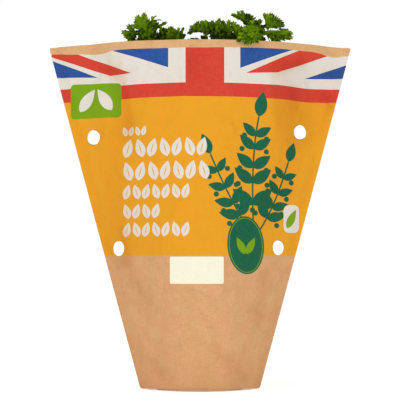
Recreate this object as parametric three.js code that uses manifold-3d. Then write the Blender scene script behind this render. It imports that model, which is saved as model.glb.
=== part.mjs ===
// Potted curly parsley in its tapered paper sleeve.
// Millimetres, +Z up. Origin at the centre of the pot's foot, on the floor. The front faces -Y.
import * as THREE from 'three';
import { mergeVertices } from 'three/addons/utils/BufferGeometryUtils.js';
import Module from 'manifold-3d';

const wasm = await Module();
wasm.setup();

// Paper sleeve: a front and a back panel joined along straight side edges, opened by the pot.
const sleeveHeight = 273;
const sleeveFootHalfWidth = 47.5;
const sleeveRimHalfWidth = 121.4;
const sleeveFootHalfDepth = 36.5;
const sleeveFlare = 0.16; // how fast the panels bow out, per mm of height, up to the pot's rim
const sleeveFlareEnds = 78;
const sleeveFlareBlend = 20;
const pinchStarts = sleeveFlareEnds + sleeveFlareBlend;
const sleeveRimPinch = 1.6; // the panels lie this much closer at the rim than above the pot
const sleeveFootRise = 1.2; // the straight-cut foot edge stands this much higher in the middle of each panel
const wingAngleFoot = 50; // degrees between a panel's flat edge strip and the line of the side edges
const wingAngleRim = 31.5;
const wingTurnStarts = 30;
const wingTurnEnds = 210;
const paperThickness = 0.8;
const sleeveLevels = [0, 40, 78, 98, 135, 180, 226, 273];
const arcSteps = 5;
const wingSteps = 2;

// Vent holes, punched through both panels. Places are measured on the front panel.
const ventDiameter = 12;
const ventPlaces = [
  { x: -84.6, z: 199.8 },
  { x: 79.9, z: 204.3 },
  { x: -64.4, z: 111.5 },
  { x: 61.9, z: 112.2 },
];
const ventBackDrift = 0.016; // the opened back panel's holes sit this share further out from ventDriftHeight
const ventDriftHeight = 85;
const ventSides = 12;
const punchLength = 10;

// Label stuck on the front panel.
const labelWidth = 41.6;
const labelHeight = 21;
const labelCentre = { x: -2.5, z: 94.1 };
const labelThickness = 0.6;
const labelColumns = 8;
const labelRows = 3;
const seatGap = 0.3; // between pieces that touch

// Pot.
const potHeight = 84;
const potFootRadius = 35;
const potShoulderRadius = 45.4; // outside of the wall just under the rim band
const potRimBandHeight = 10;
const potRimLowRadius = 46.9;
const potRimTopRadius = 48.2;
const potWall = 1.1;
const potFloorLow = 1.6;
const potFloorHigh = 3.2;
const potFootRing = 1.8;
const potLip = { width: 0.3, height: 1.5 }; // the bevel inside the rim
const potSegments = 28;
const drainHoles = 6;
const drainDiameter = 8;
const drainCircle = 21;
const drainSides = 8;

// Soil.
const soilTop = 74;
const soilRings = [12, 24, 35];
const soilBump = 1.6;
const soilWaves = { x: 0.31, shift: 1.3, y: 0.27, cross: 0.53, crossShare: 0.6 };
const soilEdgeDrop = 2; // how far the soil lies lower along the pot's wall
const meshGap = 0.05; // added to the seat gap where one faceted round stands in another

// Stems.
const stemRadius = 1.2;
const stemSides = 5;
const stemSteps = 8;
const stemSunk = 12; // below the soil's surface
const stemStraight = 5; // above it, before the stem starts to lean
const stemHoleSides = 6;
const stemHoleLength = 40; // past the soil's surface
const rootReachX = 37; // the roots fill an ellipse of these half-widths
const rootReachY = 31;
const spreadX = 2.15; // how far the bunch opens between the soil and the sleeve's rim
const spreadY = 1.0;
const bendLength = 90; // the top stretch of a stem that leans to its own side
const goldenAngle = 137.508;
const firstRootAngle = 20;
const sampleStep = 5; // between the points that keep leaves clear of a stem

// Leaflets: toothed fans on short stalks.
const leafThickness = 0.7;
const leafTeeth = 5;
const leafSweep = 122; // degrees from the fan's axis to the corner where its blade ends
const hubReach = 0.42; // share of the radius between the end of the stalk and the fan's middle
const neckReach = 0.7; // share of the radius between the fan's middle and a long stalk's end
const notchDepth = 0.72; // share of the fan's radius
const cornerDepth = 0.5;
const toothReach = { least: 0.92, spread: 0.12 }; // share of the fan's radius
const notchReach = { least: 0.92, spread: 0.16 }; // share of the notch's own depth
const stalkHalfWidth = 0.5;
const stalkSunk = 0.2; // past the stem's axis
const longStalk = 12; // beyond this a fan narrows to its stalk well before the stem
const ruffle = 0.14; // share of the radius by which teeth stand up and down
const cup = 0.16; // share of the radius by which the fan's edge hangs
const leafClearance = 3.4;
const stemClearance = 4.2;
const wallClearance = 2.6;
const rimClearance = 8; // above the rim, from the line of the sleeve's side edges
const ventClearance = 10;
const clearanceDisc = 1.07; // share of its radius by which a fan's disc is kept clear
const sampleRings = [[0.5, 6], [1.0, 12]]; // share of the radius and count of the points tested on a fan

const degrees = Math.PI / 180;
const mix = (a, b, t) => a + (b - a) * t;
const clamp01 = (t) => Math.min(1, Math.max(0, t));
const smooth = (t) => t * t * (3 - 2 * t);

// Park and Miller's generator: the same seed always gives the same plant.
function drawsFrom(seed) {
  let state = seed;
  return () => {
    state = (state * 16807) % 2147483647;
    return state / 2147483647;
  };
}

// Solids and meshes

function toSolid(geometry) {
  const bare = geometry.clone();
  bare.deleteAttribute('normal');
  bare.deleteAttribute('uv');
  const merged = mergeVertices(bare, 1e-4);
  return new wasm.Manifold(new wasm.Mesh({
    numProp: 3,
    vertProperties: new Float32Array(merged.attributes.position.array),
    triVerts: new Uint32Array(merged.index.array),
  }));
}

function toGeometry(solid) {
  const mesh = solid.getMesh();
  const geometry = new THREE.BufferGeometry();
  geometry.setAttribute('position', new THREE.BufferAttribute(mesh.vertProperties, 3));
  geometry.setIndex(new THREE.BufferAttribute(mesh.triVerts, 1));
  geometry.computeVertexNormals();
  return geometry;
}

function geometryFrom(points, faces) {
  const geometry = new THREE.BufferGeometry();
  geometry.setAttribute('position', new THREE.Float32BufferAttribute(points.flat(), 3));
  geometry.setIndex(faces.flat());
  return geometry;
}

function quad(a, b, c, d) {
  return [[a, b, c], [a, c, d]];
}

const root = new THREE.Group();

function addNode(name, geometry, colour, roughness) {
  const material = new THREE.MeshStandardMaterial({ color: colour, roughness, metalness: 0 });
  const mesh = new THREE.Mesh(geometry, material);
  mesh.name = name;
  root.add(mesh);
}

// Sleeve section: seen from above, each panel is an arc in the middle and a flat wing to each side edge.

function sleeveSection(z, inset = 0) {
  const t = z / sleeveHeight;
  const turn = smooth(clamp01((z - wingTurnStarts) / (wingTurnEnds - wingTurnStarts)));
  const wing = mix(wingAngleFoot, wingAngleRim, turn) * degrees;
  const past = Math.min(Math.max(z - sleeveFlareEnds, 0), sleeveFlareBlend);
  const flared = Math.min(z, sleeveFlareEnds) + past - past * past / (2 * sleeveFlareBlend);
  const pinch = sleeveRimPinch * smooth(clamp01((z - pinchStarts) / (sleeveHeight - pinchStarts)));
  const halfDepth = sleeveFootHalfDepth + sleeveFlare * flared - pinch - inset;
  const halfWidth = mix(sleeveFootHalfWidth, sleeveRimHalfWidth, t) - inset / Math.sin(wing);
  const tangent = Math.tan(wing);
  const cornerX = (halfWidth * tangent - halfDepth) / (tangent - Math.tan(wing / 2));
  return { halfWidth, halfDepth, wing, cornerX, arcRadius: cornerX / Math.sin(wing) };
}

// Depth of the panel in front of the side edges, at x across and z up.
function panelDepth(x, z, inset = 0) {
  const s = sleeveSection(z, inset);
  const across = Math.abs(x);
  if (across > s.cornerX) return (s.halfWidth - across) * Math.tan(s.wing);
  return s.halfDepth - s.arcRadius + Math.sqrt(s.arcRadius * s.arcRadius - across * across);
}

function sectionLoop(z, inset) {
  const s = sleeveSection(z, inset);
  const quarter = [];
  for (let i = 0; i < wingSteps; i += 1) {
    const x = mix(s.halfWidth, s.cornerX, i / wingSteps);
    quarter.push([x, (s.halfWidth - x) * Math.tan(s.wing)]);
  }
  for (let i = 0; i < arcSteps; i += 1) {
    const angle = s.wing * (1 - i / arcSteps);
    quarter.push([s.arcRadius * Math.sin(angle), s.halfDepth - s.arcRadius * (1 - Math.cos(angle))]);
  }
  const middle = [[0, s.halfDepth]];
  const left = quarter.slice(1).reverse().map(([x, y]) => [-x, y]);
  const back = [...quarter, ...middle, ...left];
  const front = back.map(([x, y]) => [-x, -y]);
  const rise = (y) => (z > 0 ? 0 : sleeveFootRise * Math.abs(y) / sleeveFootHalfDepth);
  return [...back, ...front].map(([x, y]) => [x, y, z + rise(y)]);
}

function sleeveWall() {
  const outer = sleeveLevels.map((z) => sectionLoop(z, 0));
  const inner = sleeveLevels.map((z) => sectionLoop(z, paperThickness));
  const count = outer[0].length;
  const rows = sleeveLevels.length;
  const points = [...outer.flat(), ...inner.flat()];
  const faces = [];
  const at = (side, row, i) => side * rows * count + row * count + (i % count);
  for (let i = 0; i < count; i += 1) {
    for (let row = 0; row < rows - 1; row += 1) {
      faces.push(...quad(at(0, row, i), at(0, row, i + 1), at(0, row + 1, i + 1), at(0, row + 1, i)));
      faces.push(...quad(at(1, row, i), at(1, row + 1, i), at(1, row + 1, i + 1), at(1, row, i + 1)));
    }
    const top = rows - 1;
    faces.push(...quad(at(0, top, i), at(0, top, i + 1), at(1, top, i + 1), at(1, top, i)));
    faces.push(...quad(at(0, 0, i), at(1, 0, i), at(1, 0, i + 1), at(0, 0, i + 1)));
  }
  return toSolid(geometryFrom(points, faces));
}

// A punch square to the wing of one panel; side is -1 for the front panel and +1 for the back.
function ventPunch(place, side) {
  const drift = side < 0 ? 0 : ventBackDrift;
  const x = place.x * (1 + drift);
  const z = place.z + drift * (place.z - ventDriftHeight);
  const punch = new THREE.CylinderGeometry(ventDiameter / 2, ventDiameter / 2, punchLength, ventSides);
  punch.rotateZ(-Math.sign(x) * side * sleeveSection(z).wing);
  punch.translate(x, side * panelDepth(x, z), z);
  return toSolid(punch);
}

function paperSleeve() {
  let sleeve = sleeveWall();
  for (const place of ventPlaces) {
    for (const side of [-1, 1]) sleeve = sleeve.subtract(ventPunch(place, side));
  }
  return toGeometry(sleeve);
}

function dateLabel() {
  const columns = labelColumns;
  const rows = labelRows;
  const points = [];
  const faces = [];
  for (const lift of [seatGap, seatGap + labelThickness]) {
    for (let row = 0; row <= rows; row += 1) {
      const z = labelCentre.z + labelHeight * (row / rows - 0.5);
      for (let column = 0; column <= columns; column += 1) {
        const x = labelCentre.x + labelWidth * (column / columns - 0.5);
        points.push([x, -panelDepth(x, z, -lift), z]);
      }
    }
  }
  const at = (layer, row, column) => layer * (rows + 1) * (columns + 1) + row * (columns + 1) + column;
  const skin = (a, b, c, d) => {
    faces.push(...quad(at(1, ...a), at(1, ...b), at(1, ...c), at(1, ...d)));
    faces.push(...quad(at(0, ...a), at(0, ...d), at(0, ...c), at(0, ...b)));
  };
  const edge = (a, b) => faces.push(...quad(at(1, ...b), at(1, ...a), at(0, ...a), at(0, ...b)));
  for (let row = 0; row < rows; row += 1) {
    for (let column = 0; column < columns; column += 1) {
      skin([row, column], [row, column + 1], [row + 1, column + 1], [row + 1, column]);
    }
    edge([row + 1, 0], [row, 0]);
    edge([row, columns], [row + 1, columns]);
  }
  for (let column = 0; column < columns; column += 1) {
    edge([0, column], [0, column + 1]);
    edge([rows, column + 1], [rows, column]);
  }
  return geometryFrom(points, faces);
}

// Pot and soil

function plasticPot() {
  const shoulder = potHeight - potRimBandHeight;
  const profile = [
    [0, potFloorHigh],
    [potFootRadius - potWall, potFloorHigh],
    [potShoulderRadius - potWall, shoulder],
    [potRimTopRadius - potWall - potLip.width, potHeight - potLip.height],
    [potRimTopRadius - potWall, potHeight],
    [potRimTopRadius, potHeight],
    [potRimLowRadius, shoulder],
    [potShoulderRadius, shoulder],
    [potFootRadius, 0],
    [potFootRadius - potFootRing, 0],
    [potFootRadius - potFootRing, potFloorLow],
    [0, potFloorLow],
  ].map(([r, z]) => new THREE.Vector2(r, z));
  const turned = new THREE.LatheGeometry([...profile].reverse(), potSegments);
  turned.rotateX(Math.PI / 2);
  let pot = toSolid(turned);
  for (let i = 0; i < drainHoles; i += 1) {
    const angle = i * 2 * Math.PI / drainHoles;
    const drill = new THREE.CylinderGeometry(drainDiameter / 2, drainDiameter / 2, punchLength, drainSides);
    drill.rotateX(Math.PI / 2);
    drill.translate(drainCircle * Math.cos(angle), drainCircle * Math.sin(angle), potFloorLow);
    pot = pot.subtract(toSolid(drill));
  }
  return toGeometry(pot);
}

function soilSurface(x, y) {
  const { x: alongX, shift, y: alongY, cross, crossShare } = soilWaves;
  const wave = Math.sin(x * alongX + shift) * Math.cos(y * alongY);
  return soilTop + soilBump * (wave + crossShare * Math.sin((x - y) * cross));
}

function soilPlug() {
  const bottom = potFloorHigh + seatGap;
  const shoulder = potHeight - potRimBandHeight;
  const wallTop = (z) => (z - potFloorHigh) / (shoulder - potFloorHigh);
  const innerRadius = (z) => mix(potFootRadius, potShoulderRadius, wallTop(z)) - potWall - seatGap - meshGap;
  const points = [[0, 0, soilSurface(0, 0)]];
  const ringPoint = (radius, i, z) => {
    const angle = i * 2 * Math.PI / potSegments;
    const x = radius * Math.cos(angle);
    const y = radius * Math.sin(angle);
    points.push([x, y, z ?? soilSurface(x, y)]);
  };
  const edgeHeight = soilTop - soilEdgeDrop;
  const rings = [...soilRings.map((r) => [r, undefined]),
    [innerRadius(edgeHeight), edgeHeight], [innerRadius(bottom), bottom]];
  for (const [radius, z] of rings) for (let i = 0; i < potSegments; i += 1) ringPoint(radius, i, z);
  points.push([0, 0, bottom]);
  const at = (ring, i) => 1 + ring * potSegments + (i % potSegments);
  const faces = [];
  for (let i = 0; i < potSegments; i += 1) {
    faces.push([0, at(0, i), at(0, i + 1)]);
    for (let ring = 0; ring < rings.length - 1; ring += 1) {
      faces.push(...quad(at(ring, i), at(ring + 1, i), at(ring + 1, i + 1), at(ring, i + 1)));
    }
    faces.push([points.length - 1, at(rings.length - 1, i + 1), at(rings.length - 1, i)]);
  }
  return toSolid(geometryFrom(points, faces));
}

function pottingSoil(fronds) {
  let soil = soilPlug();
  const holeRadius = (stemRadius + seatGap) / Math.cos(Math.PI / stemHoleSides) + meshGap;
  for (const frond of fronds) {
    const hole = new THREE.CylinderGeometry(holeRadius, holeRadius, stemHoleLength, stemHoleSides);
    hole.rotateX(Math.PI / 2);
    hole.translate(frond.rootX, frond.rootY, soilTop - stemSunk - seatGap + stemHoleLength / 2);
    soil = soil.subtract(toSolid(hole));
  }
  return toGeometry(soil);
}

// Plan of the plant: where each stem runs and where each fan sits.
// The roots stand in a sunflower pattern and the bunch opens evenly, so no two stems cross.

function flow(rootX, rootY, z) {
  const t = clamp01((z - soilTop - stemStraight) / (sleeveHeight - soilTop - stemStraight));
  const open = t * t * (1.5 - 0.5 * t);
  return [rootX * (1 + (spreadX - 1) * open), rootY * (1 + (spreadY - 1) * open)];
}

// A point on a frond's stem, where the stem reaches height z.
function stemPoint(frond, z) {
  const [x, y] = flow(frond.rootX, frond.rootY, z);
  const t = clamp01((z - frond.top + bendLength) / bendLength);
  return new THREE.Vector3(x + frond.leanX * t * t, y + frond.leanY * t * t, z);
}

// Fronds whose tips show above the rim: where the tip stands, and their fans
// as [x, y, z of the hub, radius, heading from straight up, turn about that heading].
const shownFronds = [
  { tip: [-45, -10, 270], fans: [
    [-56, -16, 281.5, 10, -82, 20], [-44.5, -20, 286.5, 11.5, -14, 12], [-34.5, -6, 290, 8, 48, -30],
    [-50, 6, 278, 10.5, -50, 60], [-38, -22, 277, 10, 30, 40]] },
  { tip: [-24, -2, 268], fans: [
    [-28, -14, 279.5, 9.5, -25, 15], [-19.5, -6, 280, 9.5, 30, -10], [-25, 9, 281.5, 9.5, -10, 30],
    [-14, -20, 274, 9, 10, 30]] },
  { tip: [3, -4, 270], fans: [
    [-2, -14, 288, 8.5, -12, -20], [6, -12, 274, 8.5, 20, 15], [1, 11, 273.5, 9.5, -20, 50]] },
  { tip: [20, -8, 268], fans: [
    [17, -1, 287, 10.5, -8, -10], [26, -18, 280, 11, 32, 20], [11.5, -9, 284, 9.5, -20, 12],
    [12, -22, 276, 10, -30, 35], [24, 12, 279, 10, 30, 60]] },
  { tip: [36, 10, 276], fans: [
    [38, 9, 294.8, 9, -62, 20], [47, 6, 288.5, 9, 38, -20], [38, 22, 284, 10.5, 5, 55]] },
  { tip: [44, -26, 281], fans: [
    [38, -47.6, 279, 11.5, -168, 8], [49, -36, 279, 10.5, 100, 70]] },
  { tip: [60, -6, 274], fans: [
    [59.5, -10, 291, 10, -6, 5], [66, -10, 281, 10.5, 78, -40], [54, 10, 277, 9.5, -40, 40],
    [60, -22, 273.5, 9, 26, 45]] },
];

// Fronds that stay inside the sleeve: a tier for each, so that neighbours' heads lie at different heights.
const hiddenFronds = 20;
const tierHeights = [238, 196, 260, 218, 248, 180];
const tierJitter = 9;
const fansPerFrond = 6;
const fanSpacing = 8;
const fanAzimuth = { perFrond: 47, spread: 50, perTry: 43 }; // degrees round the stem
const fanRise = { tip: 58, least: 12, spread: 26, perTry: 14 }; // degrees above level
const fanRoll = 60; // degrees, the whole range of the turn about a fan's own axis
const fanRadius = { least: 10, spread: 3, lossPerTry: 0.035 };
const fanStalk = { tip: 3, perFan: 1.2 };
const stemLean = { least: 0.06, spread: 0.05 }; // outward, as a share of the tip's distance from the axis
const shownLie = { heading: 0.8, reach: 0.6 }; // a shown fan lies partly along each of these
const triesPerFan = 8;
const highestHub = 268; // of the fans that stay hidden behind the front panel's rim
const shownStalkDrop = 3; // the stalks of a shown frond's fans leave the stem this far under its tip

function fanFrom(base, direction, normal, stalk, radius, seed) {
  const hub = base.clone().addScaledVector(direction, stalk + hubReach * radius);
  return { base, direction, normal, stalk, radius, hub, seed };
}

// Points spread over a fan, for keeping it clear of its neighbours.
function fanSamples(fan) {
  const side = new THREE.Vector3().crossVectors(fan.normal, fan.direction);
  const samples = [fan.hub.clone(), fan.base.clone().lerp(fan.hub, 0.5)];
  for (const [share, count] of sampleRings) {
    for (let i = 0; i < count; i += 1) {
      const angle = 2 * Math.PI * i / count;
      samples.push(fan.hub.clone()
        .addScaledVector(fan.direction, share * fan.radius * Math.cos(angle))
        .addScaledVector(side, share * fan.radius * Math.sin(angle)));
    }
  }
  return samples;
}

function distanceToFan(point, fan) {
  const offset = point.clone().sub(fan.hub);
  const height = offset.dot(fan.normal);
  const across = Math.sqrt(Math.max(0, offset.dot(offset) - height * height));
  const beyond = Math.max(0, across - clearanceDisc * fan.radius);
  return Math.sqrt(height * height + beyond * beyond);
}

function insideSleeve(point) {
  if (point.z > sleeveHeight + wallClearance) return Math.abs(point.x) < sleeveRimHalfWidth - rimClearance;
  const z = Math.min(point.z, sleeveHeight);
  return Math.abs(point.y) < panelDepth(point.x, z, paperThickness) - wallClearance;
}

// The vents stay open to view: nothing hangs behind them.
function behindVent(point) {
  return ventPlaces.some((vent) => Math.abs(point.x - vent.x) < ventClearance
    && Math.abs(point.z - vent.z) < ventClearance);
}

function fansClash(samples, fan, otherFan) {
  if (fan.hub.distanceTo(otherFan.hub) > fan.radius + otherFan.radius + leafClearance) return false;
  return samples.some((point) => distanceToFan(point, otherFan) < leafClearance)
    || otherFan.samples.some((point) => distanceToFan(point, fan) < leafClearance);
}

function fanIsClear(fan, frond, fronds) {
  const samples = fanSamples(fan);
  if (samples.some((point) => !insideSleeve(point) || behindVent(point))) return false;
  for (const other of fronds) {
    if (other === frond) continue;
    if (other.stem.some((point) => distanceToFan(point, fan) < stemClearance)) return false;
    if (other.stem.some((point) => point.distanceTo(samples[1]) < stemClearance)) return false;
    for (const otherFan of other.fans) {
      if (fansClash(samples, fan, otherFan)) return false;
    }
  }
  return true;
}

function stemSamples(frond) {
  const points = [];
  for (let z = soilTop; z < frond.top; z += sampleStep) points.push(stemPoint(frond, z));
  points.push(stemPoint(frond, frond.top));
  return points;
}

function rootPlace(index, count) {
  const share = Math.sqrt((index + 0.5) / count);
  const angle = (index * goldenAngle + firstRootAngle) * degrees;
  return [rootReachX * share * Math.cos(angle), rootReachY * share * Math.sin(angle)];
}

// The free root whose flow line comes nearest to a tip.
function nearestRoot(roots, tip) {
  const gap = ([x, y]) => {
    const [flowX, flowY] = flow(x, y, tip[2]);
    return (flowX - tip[0]) * (flowX - tip[0]) + (flowY - tip[1]) * (flowY - tip[1]);
  };
  const best = roots.reduce((kept, candidate) => (gap(candidate) < gap(kept) ? candidate : kept));
  roots.splice(roots.indexOf(best), 1);
  return best;
}

function makeFrond([rootX, rootY], top, leanX, leanY, seed) {
  const frond = { rootX, rootY, top, leanX, leanY, seed, fans: [] };
  frond.stem = stemSamples(frond);
  return frond;
}

function shownFan(frond, [x, y, z, radius, heading, turn], seed) {
  const up = heading * degrees;
  const direction = new THREE.Vector3(Math.sin(up), 0, Math.cos(up));
  const hub = new THREE.Vector3(x, y, z);
  const base = stemPoint(frond, frond.top - shownStalkDrop);
  const reach = hub.clone().sub(base);
  const lie = direction.multiplyScalar(shownLie.heading)
    .addScaledVector(reach, shownLie.reach / reach.length()).normalize();
  const facing = new THREE.Vector3(0, -Math.cos(turn * degrees), Math.sin(turn * degrees));
  const normal = facing.addScaledVector(lie, -facing.dot(lie)).normalize();
  return { base, direction: lie, normal, stalk: reach.length(), radius, hub, seed };
}

// The n-th try for a hidden frond's fan: each try turns it further round its stem.
function hiddenFan(frond, index, draws, turn) {
  const base = stemPoint(frond, frond.top - index * fanSpacing);
  const turned = index * goldenAngle + frond.seed * fanAzimuth.perFrond
    + fanAzimuth.spread * draws[0] + fanAzimuth.perTry * turn;
  const azimuth = (turned % 360) * degrees;
  const lifted = fanRise.least + fanRise.spread * draws[1] + (turn % 3) * fanRise.perTry;
  const rise = (index === 0 ? fanRise.tip : lifted) * degrees;
  const direction = new THREE.Vector3(
    Math.cos(rise) * Math.cos(azimuth), Math.cos(rise) * Math.sin(azimuth), Math.sin(rise));
  const up = new THREE.Vector3(0, 0, 1);
  const flat = up.addScaledVector(direction, -direction.z).normalize();
  const side = new THREE.Vector3().crossVectors(direction, flat);
  const roll = (draws[2] - 0.5) * fanRoll * degrees;
  const normal = flat.multiplyScalar(Math.cos(roll)).addScaledVector(side, Math.sin(roll));
  const radius = (fanRadius.least + fanRadius.spread * draws[3]) * (1 - fanRadius.lossPerTry * turn);
  const stalk = fanStalk.tip + fanStalk.perFan * index;
  return fanFrom(base, direction, normal, stalk, radius, frond.seed * 31 + index);
}

function planFronds() {
  const total = shownFronds.length + hiddenFronds;
  const roots = Array.from({ length: total }, (_, index) => rootPlace(index, total));
  const fronds = shownFronds.map(({ tip }, index) => {
    const [x, y] = nearestRoot(roots, tip);
    const [flowX, flowY] = flow(x, y, tip[2]);
    return makeFrond([x, y], tip[2], tip[0] - flowX, tip[1] - flowY, index + 1);
  });
  roots.forEach((place, index) => {
    const draw = drawsFrom(7919 * (index + 3));
    const top = tierHeights[index % tierHeights.length] + tierJitter * (draw() - 0.5);
    const [x, y] = flow(place[0], place[1], top);
    const lean = stemLean.least + stemLean.spread * draw();
    fronds.push(makeFrond(place, top, x * lean, y * lean, shownFronds.length + index + 1));
  });
  fronds.slice(0, shownFronds.length).forEach((frond, index) => {
    frond.fans = shownFronds[index].fans.map((row, k) => shownFan(frond, row, frond.seed * 31 + k));
    for (const fan of frond.fans) fan.samples = fanSamples(fan);
  });
  for (const frond of fronds) growFans(frond, fronds);
  return fronds;
}

// Fans are added one by one, each at its first place that is clear of what already stands.
function growFans(frond, fronds) {
  const draw = drawsFrom(104729 + 613 * frond.seed);
  const first = frond.fans.length > 0 ? 2 : 0;
  for (let index = first; index < fansPerFrond; index += 1) {
    const draws = [draw(), draw(), draw(), draw()];
    for (let turn = 0; turn < triesPerFan; turn += 1) {
      const fan = hiddenFan(frond, index, draws, turn);
      if (fan.hub.z > highestHub || !fanIsClear(fan, frond, fronds)) continue;
      fan.samples = fanSamples(fan);
      frond.fans.push(fan);
      break;
    }
  }
}

// Solids of the plant

function fanSolid(fan) {
  const draw = drawsFrom(15485863 + 389 * fan.seed);
  const side = new THREE.Vector3().crossVectors(fan.normal, fan.direction);
  const at = (along, across, lift) => fan.hub.clone()
    .addScaledVector(fan.direction, along)
    .addScaledVector(side, across)
    .addScaledVector(fan.normal, lift);
  const middle = [at(0, 0, cup * fan.radius * 0.5)];
  const last = 2 * leafTeeth;
  for (let i = 0; i <= last; i += 1) {
    const angle = mix(-leafSweep, leafSweep, i / last) * degrees;
    const tooth = i % 2 === 1;
    const notch = i === 0 || i === last ? cornerDepth : notchDepth;
    const reach = tooth
      ? toothReach.least + toothReach.spread * draw()
      : notch * (notchReach.least + notchReach.spread * draw());
    const r = fan.radius * reach;
    const wave = tooth ? ruffle * fan.radius * (i % 4 === 1 ? 1 : -1) : 0;
    middle.push(at(r * Math.cos(angle), r * Math.sin(angle), wave - cup * fan.radius * reach * reach));
  }
  if (fan.stalk > longStalk) middle.push(at(-fan.radius * neckReach, stalkHalfWidth, 0));
  const sunk = fan.base.clone().addScaledVector(fan.direction, -stalkSunk);
  middle.push(sunk.clone().addScaledVector(side, stalkHalfWidth));
  middle.push(sunk.clone().addScaledVector(side, -stalkHalfWidth));
  if (fan.stalk > longStalk) middle.push(at(-fan.radius * neckReach, -stalkHalfWidth, 0));
  const half = leafThickness / 2;
  const count = middle.length;
  const points = [...middle.map((p) => p.clone().addScaledVector(fan.normal, half)),
    ...middle.map((p) => p.clone().addScaledVector(fan.normal, -half))].map((p) => p.toArray());
  const faces = [];
  for (let i = 1; i < count; i += 1) {
    const next = i + 1 < count ? i + 1 : 1;
    faces.push([0, i, next], [count, count + next, count + i]);
    faces.push(...quad(i, count + i, count + next, next));
  }
  return toSolid(geometryFrom(points, faces));
}

function stemSolid(frond) {
  const points = [new THREE.Vector3(frond.rootX, frond.rootY, soilTop - stemSunk)];
  const low = soilTop + stemStraight;
  for (let i = 0; i <= stemSteps - 1; i += 1) {
    points.push(stemPoint(frond, mix(low, frond.top, i / (stemSteps - 1))));
  }
  const rim = [];
  for (let i = 0; i < stemSides; i += 1) {
    const angle = i * 2 * Math.PI / stemSides;
    rim.push(new THREE.Vector2(stemRadius * Math.cos(angle), stemRadius * Math.sin(angle)));
  }
  const curve = new THREE.CatmullRomCurve3(points, false, 'centripetal');
  const tube = new THREE.ExtrudeGeometry(new THREE.Shape(rim), { steps: stemSteps, extrudePath: curve });
  return toSolid(tube);
}

function frondGeometry(frond) {
  let solid = stemSolid(frond);
  for (const fan of frond.fans) solid = solid.add(fanSolid(fan));
  return toGeometry(solid);
}

const fronds = planFronds();

addNode('paper_sleeve', paperSleeve(), 0xd6a272, 0.85);
addNode('date_label', dateLabel(), 0xfbf7e0, 0.7);
addNode('plastic_pot', plasticPot(), 0xb88d66, 0.5);
addNode('potting_soil', pottingSoil(fronds), 0x3a2a1e, 1.0);
fronds.forEach((frond, index) => {
  addNode(`frond_${String(index + 1).padStart(2, '0')}`, frondGeometry(frond), 0x4f7a12, 0.6);
});

export default root;
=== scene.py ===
import math

import bpy
import numpy as np
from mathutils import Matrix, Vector, geometry, noise


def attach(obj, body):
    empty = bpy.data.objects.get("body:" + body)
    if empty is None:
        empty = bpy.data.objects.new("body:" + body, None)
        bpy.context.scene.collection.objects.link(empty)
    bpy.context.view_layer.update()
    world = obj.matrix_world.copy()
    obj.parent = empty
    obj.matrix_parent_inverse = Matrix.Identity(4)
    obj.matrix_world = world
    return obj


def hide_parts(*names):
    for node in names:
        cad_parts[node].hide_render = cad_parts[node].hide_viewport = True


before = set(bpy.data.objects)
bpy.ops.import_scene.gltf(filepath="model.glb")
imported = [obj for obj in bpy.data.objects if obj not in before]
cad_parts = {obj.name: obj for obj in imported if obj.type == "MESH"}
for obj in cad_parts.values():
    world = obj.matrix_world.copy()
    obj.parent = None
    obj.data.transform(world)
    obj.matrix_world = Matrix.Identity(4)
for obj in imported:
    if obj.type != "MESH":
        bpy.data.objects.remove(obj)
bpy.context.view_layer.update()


# Camera, at the photograph's height and distance
view = {
    "eyeHeight": 85,
    "distance": 1350,
    "aimHeight": 150.6,
    "sensor": 36,
    "lens": 151.9,
    "pixel": 0.8,  # the photo's scale in mm at the object's middle
    "middleColumn": 200,
    "eyeRow": 282,  # the photo's row at the height of the eye
}


def inMetres(point):
    return (point[0] * 0.001, point[1] * 0.001, point[2] * 0.001)


def fromPhoto(across, down, depth):  # where a pixel of the photo lies, this far behind the middle
    scale = view["pixel"] * (view["distance"] + depth) / view["distance"]
    height = view["eyeHeight"] + (view["eyeRow"] - down) * scale
    return ((across - view["middleColumn"]) * scale, depth, height)


def addObject(name, data):
    made = bpy.data.objects.new(name, data)
    bpy.context.scene.collection.objects.link(made)
    return made


def aimAt(thing, eye, target):
    thing.location = inMetres(eye)
    thing.rotation_euler = (Vector(target) - Vector(eye)).to_track_quat("-Z", "Y").to_euler()


cameraData = bpy.data.cameras.new("photoCamera")
cameraData.lens = view["lens"]
cameraData.sensor_width = view["sensor"]
camera = addObject("photoCamera", cameraData)
aimAt(camera, (0, -view["distance"], view["eyeHeight"]), (0, 0, view["aimHeight"]))
bpy.context.scene.camera = camera
bpy.context.scene.view_settings.view_transform = "Standard"


# Small maths
def mix(a, b, t):
    return a + (b - a) * t


def clamp01(t):
    return min(1.0, max(0.0, t))


def smooth(t):
    return t * t * (3 - 2 * t)


def drawsFrom(seed):  # a plain multiplying generator, the same one that plans the solids
    factor, modulus = 16807, 2147483647
    state = [seed]

    def draw():
        state[0] = (state[0] * factor) % modulus
        return state[0] / modulus

    return draw


def around(radius, count):  # points evenly round a circle, as (x, y)
    turns = [2 * math.pi * i / count for i in range(count)]
    return [(radius * math.cos(t), radius * math.sin(t)) for t in turns]


# Node materials
def toLinear(hexColour):
    channels = [int(hexColour[i:i + 2], 16) / 255 for i in (1, 3, 5)]
    return (*(c / 12.92 if c <= 0.04045 else ((c + 0.055) / 1.055) ** 2.4 for c in channels), 1.0)


def addNode(tree, kind, settings=None, links=None):
    # A setting is the node's own or a socket's. A link from a node takes its first output in use.
    node = tree.nodes.new("ShaderNode" + kind)
    for name, value in (settings or {}).items():
        if isinstance(name, str) and hasattr(node, name):
            setattr(node, name, value)
        else:
            node.inputs[name].default_value = value
    for name, source in (links or {}).items():
        if isinstance(source, bpy.types.Node):
            source = next(output for output in source.outputs if output.enabled)
        tree.links.new(source, node.inputs[name])
    return node


colourA, colourB = 6, 7  # the two colour sockets of a mix node


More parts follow.
